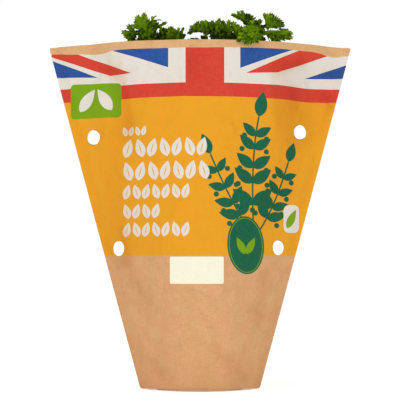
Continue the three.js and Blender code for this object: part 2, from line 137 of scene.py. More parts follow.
def startMaterial(name):
    material = bpy.data.materials.new(name)
    material.use_nodes = True
    material.node_tree.nodes.clear()
    return material, material.node_tree, addNode(material.node_tree, "TexCoord").outputs["Object"]


def perMetre(size):  # the scale of a pattern whose features are this many millimetres apart
    return 1000 / size


# Kraft paper. Brown and uncoated, so it is dull, with long pulp fibres and a cloudy, mottled sheet.
kraft = {
    "pinkish": "#C8966B",
    "straw": "#C3996A",
    "tintSize": 13,
    "cloudColour": "#A67046",
    "cloudSize": 11,
    "inside": ("#C08B60", "#B98F60"),
    "rimColour": "#C59E70",  # the bare strip along the rim, rubbed paler
    "rimFrom": 262,
    "rimBlend": 4,
    "footShadeTo": 30,  # painted shade: the foot is drawn darker up to here
    "roughness": 0.82,
    "ior": 1.47,
    "fibreLength": 6.0,
    "fibreWidth": 0.9,  # real fibres are 0.03 mm across, too fine to show, so they are drawn coarser
    "fibreTilt": 7,
    "upFibres": 0.45,  # the share of the fibres that stand upright
    "fibreHeight": 0.035,
    "bareShares": {"rubbed": 0.8, "clouds": 0.3, "footShade": 0.25, "fibres": 0.35},  # how far each one shows
    "inkClouds": 0.25,
    "creasePaintedShade": (0.88, 0.78, 0.66, 1.0),  # the painted shade of a crease: what it leaves of each colour of light
    "wrinkleSize": 18,  # handling leaves a web of fine wrinkles about this far apart
    "wrinkleHeight": 2.2,
}


def paperMaterial(name, colours, shade, inkCover):
    # The sheet wanders between the two colours. inkCover is the share of it that an ink hides, and
    # the tops of the fibres stay bare of that ink.
    isBare = inkCover == 0
    shares = kraft["bareShares"] if isBare else {
        "rubbed": 0, "clouds": kraft["inkClouds"], "footShade": 0, "fibres": 1 - inkCover}
    material, tree, place = startMaterial(name)
    thin, drawnOut = perMetre(kraft["fibreWidth"]), perMetre(kraft["fibreLength"])
    lays = [((thin, thin, drawnOut), 0, kraft["upFibres"]),
            ((drawnOut, thin, thin), kraft["fibreTilt"], 1 - kraft["upFibres"])]
    fibres = None
    for scale, tilt, layShare in lays:
        along = addNode(tree, "Mapping", {
            "Scale": scale, "Rotation": (0, math.radians(tilt), 0)}, {"Vector": place})
        strands = addNode(tree, "TexNoise", {"Scale": 1, "Detail": 3, "Roughness": 0.6}, {"Vector": along})
        fibres = addNode(tree, "Math", {"operation": "MULTIPLY_ADD", 1: layShare, 2: 0}, {
            0: strands, **({2: fibres} if fibres else {})})
    clouds = addNode(tree, "TexNoise", {
        "Scale": perMetre(kraft["cloudSize"]), "Detail": 5, "Roughness": 0.66}, {"Vector": place})
    tint = addNode(tree, "TexNoise", {
        "Scale": perMetre(kraft["tintSize"]), "Detail": 5, "Roughness": 0.65}, {"Vector": place})
    tintShare = addNode(tree, "MapRange", {"From Min": 0.38, "From Max": 0.62}, {"Value": tint})
    colour = addNode(tree, "Mix", {
        "data_type": "RGBA", colourA: toLinear(colours[0]), colourB: toLinear(colours[1])}, {0: tintShare})
    height = addNode(tree, "SeparateXYZ", {}, {"Vector": place}).outputs["Z"]
    rimFrom, rimTo = kraft["rimFrom"] * 0.001, (kraft["rimFrom"] + kraft["rimBlend"]) * 0.001
    layers = [  # what each layer follows, where it sets in and is full, its share and its colour
        (height, rimFrom, rimTo, shares["rubbed"], kraft["rimColour"]),
        (clouds, 0.36, 0.7, shares["clouds"], shade),
        # painted shade, darker towards the foot
        (height, kraft["footShadeTo"] * 0.001, 0, shares["footShade"], shade),
        (fibres, 0.45, 0.68, shares["fibres"], kraft["cloudColour"] if isBare else kraft["straw"]),
    ]
    for source, low, high, most, layerColour in layers:
        share = addNode(tree, "MapRange", {
            "From Min": low, "From Max": high, "To Max": most}, {"Value": source})
        colour = addNode(tree, "Mix", {"data_type": "RGBA", colourB: toLinear(layerColour)}, {
            0: share, colourA: colour})
    # Painted shade: the colour is multiplied darker along the creases, by the share kept in the tone
    # attribute
    tone = addNode(tree, "Attribute", {"attribute_name": "tone"})
    paintedShadeShare = addNode(tree, "SeparateColor", {}, {"Color": tone})
    creasePaintedShade = addNode(tree, "Mix", {
        "data_type": "RGBA", "blend_type": "MULTIPLY", colourB: kraft["creasePaintedShade"]}, {
        0: paintedShadeShare, colourA: colour})
    wrinkles = addNode(tree, "TexNoise", {
        "noise_type": "RIDGED_MULTIFRACTAL", "normalize": False, "Scale": perMetre(kraft["wrinkleSize"]),
        "Detail": 3, "Roughness": 0.55, "Lacunarity": 2.2, "Distortion": 0.6}, {"Vector": place})
    wrinkled = addNode(tree, "Bump", {
        "Strength": 1, "Distance": kraft["wrinkleHeight"] * 0.001}, {"Height": wrinkles})
    bump = addNode(tree, "Bump", {"Strength": 0.5, "Distance": kraft["fibreHeight"] * 0.001}, {
        "Height": fibres, "Normal": wrinkled})
    skin = addNode(tree, "BsdfPrincipled", {
        "Roughness": kraft["roughness"], "IOR": kraft["ior"], "Specular IOR Level": 0.2}, {
        "Base Color": creasePaintedShade, "Normal": bump})
    addNode(tree, "OutputMaterial", {}, {"Surface": skin})
    return material


# Water-based flexo inks soak into the brown sheet: matt, a little uneven, with fibres showing through.
paperMaterials = {
    "bare": paperMaterial("uncoatedKraftPaper", (kraft["pinkish"], kraft["straw"]), kraft["cloudColour"], 0),
    "inside": paperMaterial("kraftPaperInnerFace", kraft["inside"], kraft["cloudColour"], 0),
    "orange": paperMaterial("flexoInkWarmOrange", ("#D18D16", "#CE8F14"), "#BF7F0E", 0.92),
    "red": paperMaterial("flexoInkBrickRed", ("#BE3327", "#BA3727"), "#AC2D21", 0.92),
    "blue": paperMaterial("flexoInkDeepBlue", ("#1C4285", "#18488A"), "#163B7A", 0.94),
    "white": paperMaterial("flexoInkOffWhite", ("#CBC2BA", "#C8C4BA"), "#BFB6AC", 0.92),
    "leafGreen": paperMaterial("flexoInkLeafGreen", ("#6C9000", "#689200"), "#608400", 0.96),
    "darkGreen": paperMaterial("flexoInkBottleGreen", ("#00573C", "#02553A"), "#024B31", 0.96),
}
paperSlots = list(paperMaterials)
print("paper and inks mixed")


# Outlines in the plane of a panel, as lists of (x, z)
def ovalOutline(centre, halfWidth, halfHeight, tilt=0, steps=32):
    c, s = math.cos(math.radians(tilt)), math.sin(math.radians(tilt))
    points = [(halfWidth * x, halfHeight * z) for x, z in around(1, steps)]
    return [(centre[0] + c * x - s * z, centre[1] + s * x + c * z) for x, z in points]


def roundedOutline(corners, radius, steps=5):
    # Corners run anticlockwise. Each is cut back by the radius and bridged by a curve.
    points = []
    for i, corner in enumerate(corners):
        here = Vector(corner)
        before = (Vector(corners[i - 1]) - here).normalized() * radius
        after = (Vector(corners[(i + 1) % len(corners)]) - here).normalized() * radius
        for k in range(steps + 1):
            t = k / steps
            points.append(tuple(here + before * (1 - t) * (1 - t) + after * t * t))
    return points


def leafOutline(foot, tip, halfWidth, steps=9):  # an almond, widest below its middle
    start, end = Vector(foot), Vector(tip)
    side = Vector((start.y - end.y, end.x - start.x)).normalized() * halfWidth
    rightEdge, leftEdge = [], []
    for i in range(1, steps):
        t = i / steps
        spread = math.sin(math.pi * t ** 0.8) ** 0.9
        middle = start.lerp(end, t)
        rightEdge.append(tuple(middle - side * spread))
        leftEdge.append(tuple(middle + side * spread))
    return [tuple(start), *rightEdge, tuple(end), *reversed(leftEdge)]


def strokeOutline(points, width):  # a line of even width along the points
    left, right = [], []
    for i, point in enumerate(points):
        before, after = Vector(points[max(i - 1, 0)]), Vector(points[min(i + 1, len(points) - 1)])
        run = (after - before).normalized()
        side = Vector((-run.y, run.x)) * width / 2
        left.append(tuple(Vector(point) + side))
        right.append(tuple(Vector(point) - side))
    return right + left[::-1]


def bowed(start, bend, end, steps):  # points along a curve pulled towards bend
    def at(t):
        corners = zip(start, bend, end)
        return tuple((1 - t) * (1 - t) * a + 2 * t * (1 - t) * b + t * t * c for a, b, c in corners)

    return [at(i / steps) for i in range(steps + 1)]


def anticlockwise(loop):
    area = sum(a[0] * b[1] - b[0] * a[1] for a, b in zip(loop, [*loop[1:], loop[0]]))
    return list(loop) if area > 0 else list(loop)[::-1]


def shortSteps(loop, longest):  # the same loop, with its long edges divided so that they can bend
    points = []
    for start, end in zip(loop, [*loop[1:], loop[0]]):
        count = max(1, math.ceil(math.dist(start, end) / longest))
        points += [(mix(start[0], end[0], i / count), mix(start[1], end[1], i / count)) for i in range(count)]
    return points


def cutSheet(outline, holes, prints, spacing, edgeGap=0.8):
    # Cuts a flat sheet into triangles along its outline, holes and prints. Later prints lie on top.
    loops = [outline, *holes, *[points for _, points in prints]]
    loops = [shortSteps(anticlockwise(loop), spacing * 1.3) for loop in loops]
    corners, rings = [], []
    for loop in loops:
        rings.append(list(range(len(corners), len(corners) + len(loop))))
        corners.extend(loop)
    lows, highs = np.min(outline, axis=0), np.max(outline, axis=0)
    columns = np.arange(lows[0] + spacing / 2, highs[0], spacing)
    rows = np.arange(lows[1] + spacing / 2, highs[1], spacing)
    grid = np.array([(x + (spacing / 2 if k % 2 else 0), z) for k, z in enumerate(rows) for x in columns])
    clear = np.ones(len(grid), bool)
    for loop in loops:
        for start, end in zip(loop, [*loop[1:], loop[0]]):
            run = np.subtract(end, start)
            share = np.clip((grid - start) @ run / max(run @ run, 1e-9), 0, 1)
            gap = grid - (start + share[:, None] * run)
            clear &= (gap * gap).sum(axis=1) > edgeGap * edgeGap
    corners.extend(map(tuple, grid[clear]))
    points, _, faces, _, _, cover = geometry.delaunay_2d_cdt(
        [Vector(c) for c in corners], [], rings, 0, 1e-4, True)
    kept, inks = [], []
    for face, inside in zip(faces, cover):
        if 0 not in inside or any(1 <= k <= len(holes) for k in inside):
            continue
        top = max(inside)
        kept.append(list(face))
        inks.append(prints[top - 1 - len(holes)][0] if top > len(holes) else None)
    used = sorted({i for face in kept for i in face})
    renumber = {old: new for new, old in enumerate(used)}
    return [tuple(points[i]) for i in used], [[renumber[i] for i in face] for face in kept], inks


def edgeRuns(faces):  # the edges that only one face uses, in that face's direction
    runs = {(face[i - 1], face[i]) for face in faces for i in range(len(face))}
    return [run for run in runs if (run[1], run[0]) not in runs]


class Shell:
    # Collects the points, faces and slots of one piece.
    def __init__(self):
        self.points, self.faces, self.slots, self.tones = [], [], [], []

    def add(self, points, faces, slot=0):
        self.addFaces(points, faces, [slot] * len(faces), [(0, 0, 0, 1)] * len(points))

    def addFaces(self, points, faces, slots, tones):
        start = len(self.points)
        self.points.extend(points)
        self.faces.extend([start + i for i in face] for face in faces)
        self.slots.extend(slots)
        self.tones.extend(tones)

    def addSheet(self, front, back, faces, frontSlots=None, backSlot=0, edgeSlot=0, tones=None):
        # front and back are the same points on the two faces of a thin sheet.
        count = len(front)
        under = [[count + i for i in reversed(face)] for face in faces]
        walls = [[b, a, count + a, count + b] for a, b in edgeRuns(faces)]
        slots = [*(frontSlots or [0] * len(faces)), *[backSlot] * len(under), *[edgeSlot] * len(walls)]
        self.addFaces([*front, *back], [*faces, *under, *walls], slots, 2 * (tones or [(0, 0, 0, 1)] * count))

    def toPiece(self, name, materials, sharpFrom):
        mesh = bpy.data.meshes.new(name)
        mesh.from_pydata([inMetres(p) for p in self.points], [], self.faces)
        for material in materials:
            mesh.materials.append(material)
        mesh.polygons.foreach_set("material_index", self.slots)
        mesh.polygons.foreach_set("use_smooth", [True] * len(self.faces))
        tone = mesh.color_attributes.new("tone", "FLOAT_COLOR", "POINT")
        tone.data.foreach_set("color", [v for t in self.tones for v in t])
        mesh.update()
        mesh.set_sharp_from_angle(angle=math.radians(sharpFrom))
        return addObject(name, mesh)


def settle(piece, node):
    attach(piece, "root")
    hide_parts(node)
    print(piece.name, "has", len(piece.data.polygons), "faces")


# Paper sleeve: two tapered panels that meet in pressed seams and open round the pot
sleeve = {
    "height": 273,
    "footHalfWidth": 47.5,
    "rimHalfWidth": 121.4,
    "footHalfDepth": 36.5,
    "flare": 0.16,
    "flareEnds": 78,
    "flareBlend": 20,
    "rimPinch": 1.6,
    "wingFoot": 50,
    "wingRim": 31.5,
    "wingTurn": (30, 210),
    "sheet": 0.35,  # real paper is nearer 0.12 mm
    "seam": 2.5,  # the pressed strip where the two panels are stuck together
    "seamBlend": 7,
    "cornerRadius": 2.4,
    "bluntCorner": (0.8, 0.2),  # what the rim's left corner loses, across and down
    "footRise": 2.4,  # the straight-cut foot edge stands this much higher in the middle of each panel
    "gridStep": 2.6,
    "crumple": 0.35,
    "crumpleSize": 26,
    "crumpleStretch": 0.7,
    "crumpleMiddle": 0.4,  # the noise's own mean
    "crumpleApart": 40,  # so that the two panels differ
    "sharpFrom": 60,
}
vents = {
    "diameter": 12,
    "places": [(-84.6, 199.8), (79.9, 204.3), (-64.4, 111.5), (61.9, 112.2)],
    "backDrift": 0.016,  # the open sleeve's back holes stand this much further out from driftFrom
    "driftFrom": (0, 85),
}

# Soft folds of a panel: from (x, z) to (x, z), how far it stands out, and how wide it is.
frontFolds = [
    ((-86, 285), (-84, 240), -2.4, 8),
    ((-80, 238), (-74, 190), 1.8, 8),
    ((-60, 250), (-56, 196), -2.8, 9),
    ((-64, 290), (-50, 262), 1.2, 9),
    ((64, 285), (62, 240), 1.2, 7),
    ((86, 246), (83, 206), -10, 13),
    ((113, 292), (101, 222), -4.5, 14),
    ((-12, 290), (-11, 225), 1.2, 5),
    ((-36, 262), (-26, 150), -0.7, 10),
    ((24, 275), (30, 170), 0.6, 11),
    ((40, 238), (46, 150), -0.6, 8),
    ((24, 88), (58, 56), -1.2, 6),
    ((52, 84), (34, 48), 0.9, 6),
    ((-64, 96), (-38, 66), -1.4, 7),
    ((-50, 100), (-34, 84), 0.8, 5),
    ((-56, 60), (-44, 26), 0.8, 6),
    ((4, 16), (36, 11), -0.8, 5),
    ((-38, 44), (-20, 20), -0.7, 6),
    ((10, 70), (24, 40), 0.6, 7),
]
backFolds = [
    ((-70, 280), (-58, 180), -1.2, 9),
    ((64, 280), (55, 170), -1.3, 9),
    ((-6, 270), (4, 120), -0.8, 14),
    ((96, 270), (84, 200), -0.8, 8),
    ((-30, 92), (30, 70), -0.6, 8),
]

# Painted shade along the creases, from one end to the other: how deep the painted shade goes there, and how
# far that fades to the left and to the right. A sheet that lies at a slant has a sharp crease on one side
# only.
frontPaintedShade = [
    ((-73, 266), (-70, 252), 0.5, 4, 3),
    ((-74, 252), (-66, 247), 0.8, 3, 3),
    ((-61, 248), (-52, 204), 0.8, 10, 2),
    ((-66, 202), (-63, 110), 0.4, 13, 12),
    ((-62, 127), (-57, 101), 0.6, 4, 4),
    ((-60, 100), (-39, 67), 0.5, 5, 5),
    ((60, 251), (80, 259), 1.0, 4, 4),
    ((56.5, 249), (58, 218), 0.5, 1.5, 15),
    ((73, 235), (74, 226), 0.9, 5, 5),
    ((71, 219), (67, 160), 0.45, 12, 10),
    ((58, 165), (47, 134), 0.4, 8, 9),
    ((100, 235), (106, 226), 0.8, 5, 5),
    ((101, 250), (113, 251), 0.55, 5, 5),
    ((90, 232), (86, 208), 0.3, 6, 5),
    ((50, 90), (46, 54), 0.5, 6, 5),
    ((12, 31), (36, 11), 0.4, 5, 5),
    ((-46, 29), (-27, 13), 0.3, 6, 6),
    ((-8, 262), (-8, 246), 0.5, 3, 9),
]
backPaintedShade = [
    ((-68, 262), (-58, 190), 0.6, 8, 3),
    ((62, 262), (56, 180), 0.6, 3, 7),
    ((-58, 112), (-36, 72), 0.4, 5, 5),
    ((20, 92), (46, 60), 0.4, 5, 5),
]


def sleeveSection(z, inset=0):
    turn = smooth(clamp01((z - sleeve["wingTurn"][0]) / (sleeve["wingTurn"][1] - sleeve["wingTurn"][0])))
    wing = math.radians(mix(sleeve["wingFoot"], sleeve["wingRim"], turn))
    past = min(max(z - sleeve["flareEnds"], 0), sleeve["flareBlend"])
    flared = min(z, sleeve["flareEnds"]) + past - past * past / (2 * sleeve["flareBlend"])
    pinchFrom = sleeve["flareEnds"] + sleeve["flareBlend"]
    pinch = sleeve["rimPinch"] * smooth(clamp01((z - pinchFrom) / (sleeve["height"] - pinchFrom)))
    halfDepth = sleeve["footHalfDepth"] + sleeve["flare"] * flared - pinch - inset
    halfWidth = mix(sleeve["footHalfWidth"], sleeve["rimHalfWidth"], z / sleeve["height"])
    halfWidth -= inset / math.sin(wing)
    tangent = math.tan(wing)
    cornerX = (halfWidth * tangent - halfDepth) / (tangent - math.tan(wing / 2))
    return halfWidth, halfDepth, wing, cornerX, cornerX / math.sin(wing)


def panelDepth(x, z, inset=0):
    halfWidth, halfDepth, wing, cornerX, arcRadius = sleeveSection(z, inset)
    across = abs(x)
    if across > cornerX:
        return (halfWidth - across) * math.tan(wing)
    return halfDepth - arcRadius + math.sqrt(arcRadius * arcRadius - across * across)


def gapTo(start, end, x, z):  # from the nearest point of a fold or crease to (x, z)
    runX, runZ = end[0] - start[0], end[1] - start[1]
    share = clamp01(((x - start[0]) * runX + (z - start[1]) * runZ) / (runX * runX + runZ * runZ))
    return x - start[0] - share * runX, z - start[1] - share * runZ


def foldLift(folds, x, z):
    lift = 0
    for start, end, height, width in folds:
        gapX, gapZ = gapTo(start, end, x, z)
        lift += height * math.exp(-(gapX * gapX + gapZ * gapZ) / (width * width))
    return lift


# Painted shade: how much darker the colour is painted at (x, z), from the crease strokes
def paintedShadeDepth(paintedShades, x, z):
    depth = 0
    for start, end, most, leftFade, rightFade in paintedShades:
        gapX, gapZ = gapTo(start, end, x, z)
        fade = leftFade if gapX < 0 else rightFade
        depth += most * math.exp(-(gapX * gapX + gapZ * gapZ) / (fade * fade))
    return clamp01(depth)


def paperDepth(x, z, side):
    # Depth of the sheet's outer face. side is -1 for the front panel and 1 for the back.
    opening = smooth(clamp01((sleeveSection(z)[0] - abs(x) - sleeve["seam"]) / sleeve["seamBlend"]))
    at = Vector((x, z * sleeve["crumpleStretch"], side * sleeve["crumpleApart"])) / sleeve["crumpleSize"]
    crumple = sleeve["crumple"] * (noise.fractal(at, 0.8, 2.2, 3) - sleeve["crumpleMiddle"])
    lift = foldLift(frontFolds if side < 0 else backFolds, x, z) + crumple
    return sleeve["sheet"] + (panelDepth(x, z) - sleeve["sheet"] + lift) * opening


def sheetPoints(flat, side, lift, thickness):
    # Outer and inner faces of a sheet that lies on a panel, lift above the panel's outer face.
    probe = 0.4
    outer, inner = [], []
    for x, z in flat:
        depth = paperDepth(x, z, side) + lift
        slope = (paperDepth(x + probe, z, side) - paperDepth(x - probe, z, side)) / (2 * probe)
        outer.append((x, side * depth, z))
        inner.append((x, side * (depth - thickness * math.sqrt(1 + slope * slope)), z))
    return outer, inner


def stepped(start, end):  # short steps from start to end, for the bends
    way = math.copysign(1, end - start)
    return np.arange(start, end + way * 0.01, way * sleeve["gridStep"])


def sleeveOutline():
    # Round the panel anticlockwise from the foot's left corner
    foot, rim, height = sleeve["footHalfWidth"], sleeve["rimHalfWidth"], sleeve["height"]
    radius = sleeve["cornerRadius"]
    lean = (rim - foot) / height
    sideLine = stepped(radius, height - radius)
    points = [(x, sleeve["footRise"] * panelDepth(x, 0) / sleeve["footHalfDepth"])
              for x in stepped(-foot + radius, foot - radius)]
    points += [(foot - radius * (1 - t) ** 2 + lean * radius * t * t, radius * t * t) for t in (0.35, 0.7)]
    points += [(foot + lean * z, z) for z in sideLine]
    points += [(rim - radius * t * t, height - radius * (1 - t) ** 2) for t in (0.3, 0.7)]
    points += [(x, height) for x in stepped(rim - radius, -rim + radius)]
    points += [(-rim + sleeve["bluntCorner"][0], height - sleeve["bluntCorner"][1])]
    points += [(-foot - lean * z, z) for z in sideLine[::-1]]
    points += [(-foot + radius * (1 - t) ** 2 - lean * radius * t * t, radius * t * t) for t in (0.7, 0.35)]
    return points


def ventOutline(place, side):
    x, z = place
    if side > 0:
        fromX, fromZ = vents["driftFrom"]
        x += vents["backDrift"] * (x - fromX)
        z += vents["backDrift"] * (z - fromZ)
    radius = vents["diameter"] / 2
    return ovalOutline((x, z), radius * math.cos(sleeveSection(z)[2]), radius)


# Printed bands, measured on the front panel. They run on past the sides, where the outline cuts them.
band = {
    "beyond": 130,
    "top": [(-119, 267.7), (-98, 266), (-79, 264.6), (-66, 266.8), (-10, 266.6), (60, 267.5),
            (90, 267.4), (107, 264.9), (119, 266.4)],
    "topStep": 4,
    "levels": [("orange", 105.7, 228.7), ("red", 228.7, 239.4)],  # ink, foot and top
    "whiteFoot": 239.4,
    "fields": [  # ink, lower corners, and from where to where the field runs along the band's top
        ("blue", [(-24.7, 251.6)], (-69, -24.7)),
        ("blue", [(-130, 249.6), (-81, 246.8), (-130, 267.2)], None),
        ("blue", [(31.3, 251.2)], (31.3, 73)),
        ("blue", [(83.5, 247.1), (130, 248.4), (130, 263.4)], None),
        ("red", [(-119.6, 265.6), (-70.7, 247.2), (-54, 248.6)], (-119, -97.5)),
        ("red", [(35.6, 247.4), (61, 249.1)], (78, 102)),
        ("red", [(-11.2, 238.4), (18.8, 238.4)], (-11.2, 18.8)),
    ],
}


def bandTopAt(x):
    points = [(-band["beyond"], band["top"][0][1]), *band["top"], (band["beyond"], band["top"][-1][1])]
    for (x0, z0), (x1, z1) in zip(points, points[1:]):
        if x <= x1:
            return mix(z0, z1, smooth((x - x0) / (x1 - x0)))
    return points[-1][1]


def topEdge(start, end):  # the band's upper edge between two places, from right to left
    count = max(2, round(abs(end - start) / band["topStep"]))
    places = [*(mix(end, start, i / count) for i in range(count)), start]
    return [(x, bandTopAt(x)) for x in places]


def bandPrints():
    far = band["beyond"]
    prints = []
    for ink, foot, top in band["levels"]:
        prints.append((ink, [(-far, foot), (far, foot), (far, top), (-far, top)]))
    fields = [("white", [(-far, band["whiteFoot"]), (far, band["whiteFoot"])], (-far, far)), *band["fields"]]
    return prints + [(ink, [*corners, *(topEdge(*run) if run else [])]) for ink, corners, run in fields]


# Rows of plain leaves, ragged on the right, in off-white on the orange field
leafRows = {
    "left": -61.5,
    "rows": [  # foot, height and right end of each row
        (199.5, 7.5, -40), (182.6, 14.5, 9), (164.4, 14.8, 17), (149.8, 11.6, -7),
        (134.6, 11.6, -25), (120.2, 11.6, -7),
    ],
    "tilt": 16,
    "leafShape": 0.27,  # half-width over height, as all the next ones are shares of the height
    "gap": 0.13,
    "rib": (0.16, 0.78),
    "ribShape": 0.028,
}


def rowPrints():
    prints = []
    for rowIndex, (foot, height, rightEnd) in enumerate(leafRows["rows"]):
        halfWidth = height * leafRows["leafShape"]
        step = 2 * halfWidth + leafRows["gap"] * height
        for i in range(int((rightEnd - leafRows["left"]) / step)):
            middle = leafRows["left"] + step * (i + 0.5)
            lean = math.tan(math.radians(leafRows["tilt"] * (1 if (i + rowIndex) % 2 else -1))) * height / 2
            low, high = (middle - lean, foot), (middle + lean, foot + height)
            prints.append(("white", leafOutline(low, high, halfWidth)))
            rib = [tuple(mix(a, b, share) for a, b in zip(low, high)) for share in leafRows["rib"]]
            prints.append(("orange", leafOutline(*rib, leafRows["ribShape"] * height, 5)))
    return prints


# Upright sprigs of paired almond leaves in dark green, with round berries between them
sprigs = {
    "stems": [  # foot, bend, tip, pairs of leaves, length of a leaf
        ((42, 122), (39, 180), (46, 214), 5, 20),
        ((38, 126), (22, 150), (8, 184), 4, 17),
        ((47, 126), (60, 146), (70, 180), 4, 16),
    ],
    "stemWidth": 1.3,
    "stemSteps": 24,
    "pairsFrom": 5,  # the step of the stem where the first pair stands
    "pairsOver": 18,
    "shrink": 0.35,
    "spread": 52,
    "leafShape": 0.25,
    "berry": 2.1,
    "berryTurn": 0.75,
    "berryReach": 0.62,
}


def sprigLeaf(foot, heading, size):
    return ("darkGreen", leafOutline(tuple(foot), tuple(foot + heading * size), size * sprigs["leafShape"]))


def sprigPrints():
    prints = []
    for foot, bend, tip, pairs, leafLength in sprigs["stems"]:
        line = bowed(foot, bend, tip, sprigs["stemSteps"])
        prints.append(("darkGreen", strokeOutline(line, sprigs["stemWidth"])))
        run = Vector(line[-1]) - Vector(line[-2])
        prints.append(sprigLeaf(Vector(line[-1]), run.normalized(), leafLength))
        for pair in range(pairs):
            step = sprigs["pairsFrom"] + round(sprigs["pairsOver"] * pair / pairs)
            here, run = Vector(line[step]), Vector(line[step + 1]) - Vector(line[step - 1])
            size = leafLength * (1 - sprigs["shrink"] * pair / pairs)
            for side in (-1, 1):
                heading = math.atan2(run.y, run.x) + side * math.radians(sprigs["spread"])
                prints.append(sprigLeaf(here, Vector((math.cos(heading), math.sin(heading))), size))
                heading += side * sprigs["berryTurn"]
                at = here + Vector((math.cos(heading), math.sin(heading))) * size * sprigs["berryReach"]
                prints.append(("darkGreen", ovalOutline(at, sprigs["berry"], sprigs["berry"], 0, 14)))
    return prints


# The small solid patches: a rounded green one, a little arch and a dark oval, each with leaves
patches = {
    "block": [(-103.7, 215.2), (-62, 214.6), (-61.8, 241.2), (-103.4, 242.6)],
    "blockCorner": 3.6,
    "blockLeaves": [((-96, 220.5), (-83.5, 237.5), 4.6), ((-69.5, 220.5), (-81.2, 237.5), 4.6)],
    "arch": [(66.2, 124), (79.2, 124), (79.2, 146), (66.2, 146)],
    "archCorner": 5,
    "archLeaf": ((69, 127.5), (76.4, 142.5), 3.1),
    "ovalCentre": (35.7, 113.6),
    "ovalTilt": 4,
    "ovals": [("darkGreen", 14.6, 22.6), ("leafGreen", 13.4, 21.4), ("darkGreen", 12.9, 20.9)],
    "ovalLeaf": ((0.6, -7), (7.2, 6), 2.9),  # foot and tip from the centre, to each side
}


def patchPrints():
    (x, z), tilt = patches["ovalCentre"], patches["ovalTilt"]
    (footX, footZ), (tipX, tipZ), leafWidth = patches["ovalLeaf"]
    return [
        ("leafGreen", roundedOutline(patches["block"], patches["blockCorner"])),
        *[("white", leafOutline(*leafEnds)) for leafEnds in patches["blockLeaves"]],
        ("white", roundedOutline(patches["arch"], patches["archCorner"])),
        ("leafGreen", leafOutline(*patches["archLeaf"])),
        *[(ink, ovalOutline((x, z), wide, high, tilt, 48)) for ink, wide, high in patches["ovals"]],
        *[("leafGreen", leafOutline((x + side * footX, z + footZ), (x + side * tipX, z + tipZ), leafWidth))
          for side in (-1, 1)],
    ]


def makeSleeve():
    shell = Shell()
    for side in (-1, 1):
        prints = bandPrints()
        if side < 0:
            prints += sprigPrints() + rowPrints() + patchPrints()
        holes = [ventOutline(place, side) for place in vents["places"]]
        flat, faces, inks = cutSheet(sleeveOutline(), holes, prints, sleeve["gridStep"])
        outer, inner = sheetPoints(flat, side, 0, sleeve["sheet"])
        if side > 0:
            faces = [face[::-1] for face in faces]
        slots = [paperSlots.index(ink or "bare") for ink in inks]
        # Each point keeps how much painted shade the creases give it
        paintedShades = frontPaintedShade if side < 0 else backPaintedShade
        tones = [(paintedShadeDepth(paintedShades, x, z), 0, 0, 1) for x, z in flat]
        insideSlot, bareSlot = paperSlots.index("inside"), paperSlots.index("bare")
        shell.addSheet(outer, inner, faces, slots, insideSlot, bareSlot, tones)
    piece = shell.toPiece("printedPaperSleeve", paperMaterials.values(), sleeve["sharpFrom"])
    settle(piece, "paper_sleeve")


makeSleeve()


# Label: smooth cream paper, a little brighter and flatter than the kraft it is stuck on
label = {
    "width": 41.6,
    "height": 21,
    "centre": (-2.5, 94.1),
    "corner": 1.2,
    "thickness": 0.14,
    "glue": 0.05,
    "gridStep": 1.6,
    "colours": ("#DEDCC6", "#D5D1BA"),
    "roughness": 0.55,
    "grain": 1.5,
    "grainHeight": 0.01,
    "sharpFrom": 50,
}


def labelMaterial():
    material, tree, place = startMaterial("smoothCreamLabelPaper")
    grain = addNode(tree, "TexNoise", {"Scale": perMetre(label["grain"]), "Detail": 3}, {"Vector": place})
    cream, shade = (toLinear(colour) for colour in label["colours"])
    tone = addNode(tree, "Mix", {"data_type": "RGBA", colourA: cream, colourB: shade}, {0: grain})
    bump = addNode(tree, "Bump", {
        "Strength": 0.2, "Distance": label["grainHeight"] * 0.001}, {"Height": grain})
    skin = addNode(tree, "BsdfPrincipled", {"Roughness": label["roughness"], "IOR": kraft["ior"]}, {
        "Base Color": tone, "Normal": bump})
    addNode(tree, "OutputMaterial", {}, {"Surface": skin})
    return material


def makeLabel():
    halfWidth, halfHeight = label["width"] / 2, label["height"] / 2
    x, z = label["centre"]
    corners = [(x + i * halfWidth, z + k * halfHeight) for i, k in ((-1, -1), (1, -1), (1, 1), (-1, 1))]
    flat, faces, _ = cutSheet(roundedOutline(corners, label["corner"]), [], [], label["gridStep"], 0.4)
    outer, inner = sheetPoints(flat, -1, label["thickness"] + label["glue"], label["thickness"])
    shell = Shell()
    shell.addSheet(outer, inner, faces)
    piece = shell.toPiece("creamDateLabel", [labelMaterial()], label["sharpFrom"])
    settle(piece, "date_label")


makeLabel()


# Pot: thin light brown polypropylene, injection moulded, so it has an even satin skin
pot = {
    "height": 84,
    "footRadius": 35,
    "shoulderRadius": 45.4,
    "bandHeight": 10,
    "bandLowRadius": 46.9,
    "rimRadius": 48.2,
    "wall": 1.1,
    "floorLow": 1.6,
    "floorHigh": 3.2,
    "footRing": 1.8,
    "segments": 96,
    "floorStep": 4,
    "drainHoles": 6,
    "drainDiameter": 8,
    "drainCircle": 21,
    "colour": "#B88D66",
    "dustColour": "#A17A56",
    "dustSize": 18,
    "roughness": 0.42,
    "dustRoughness": 0.7,
    "grain": 0.5,
    "grainHeight": 0.03,
    "sharpFrom": 35,
}


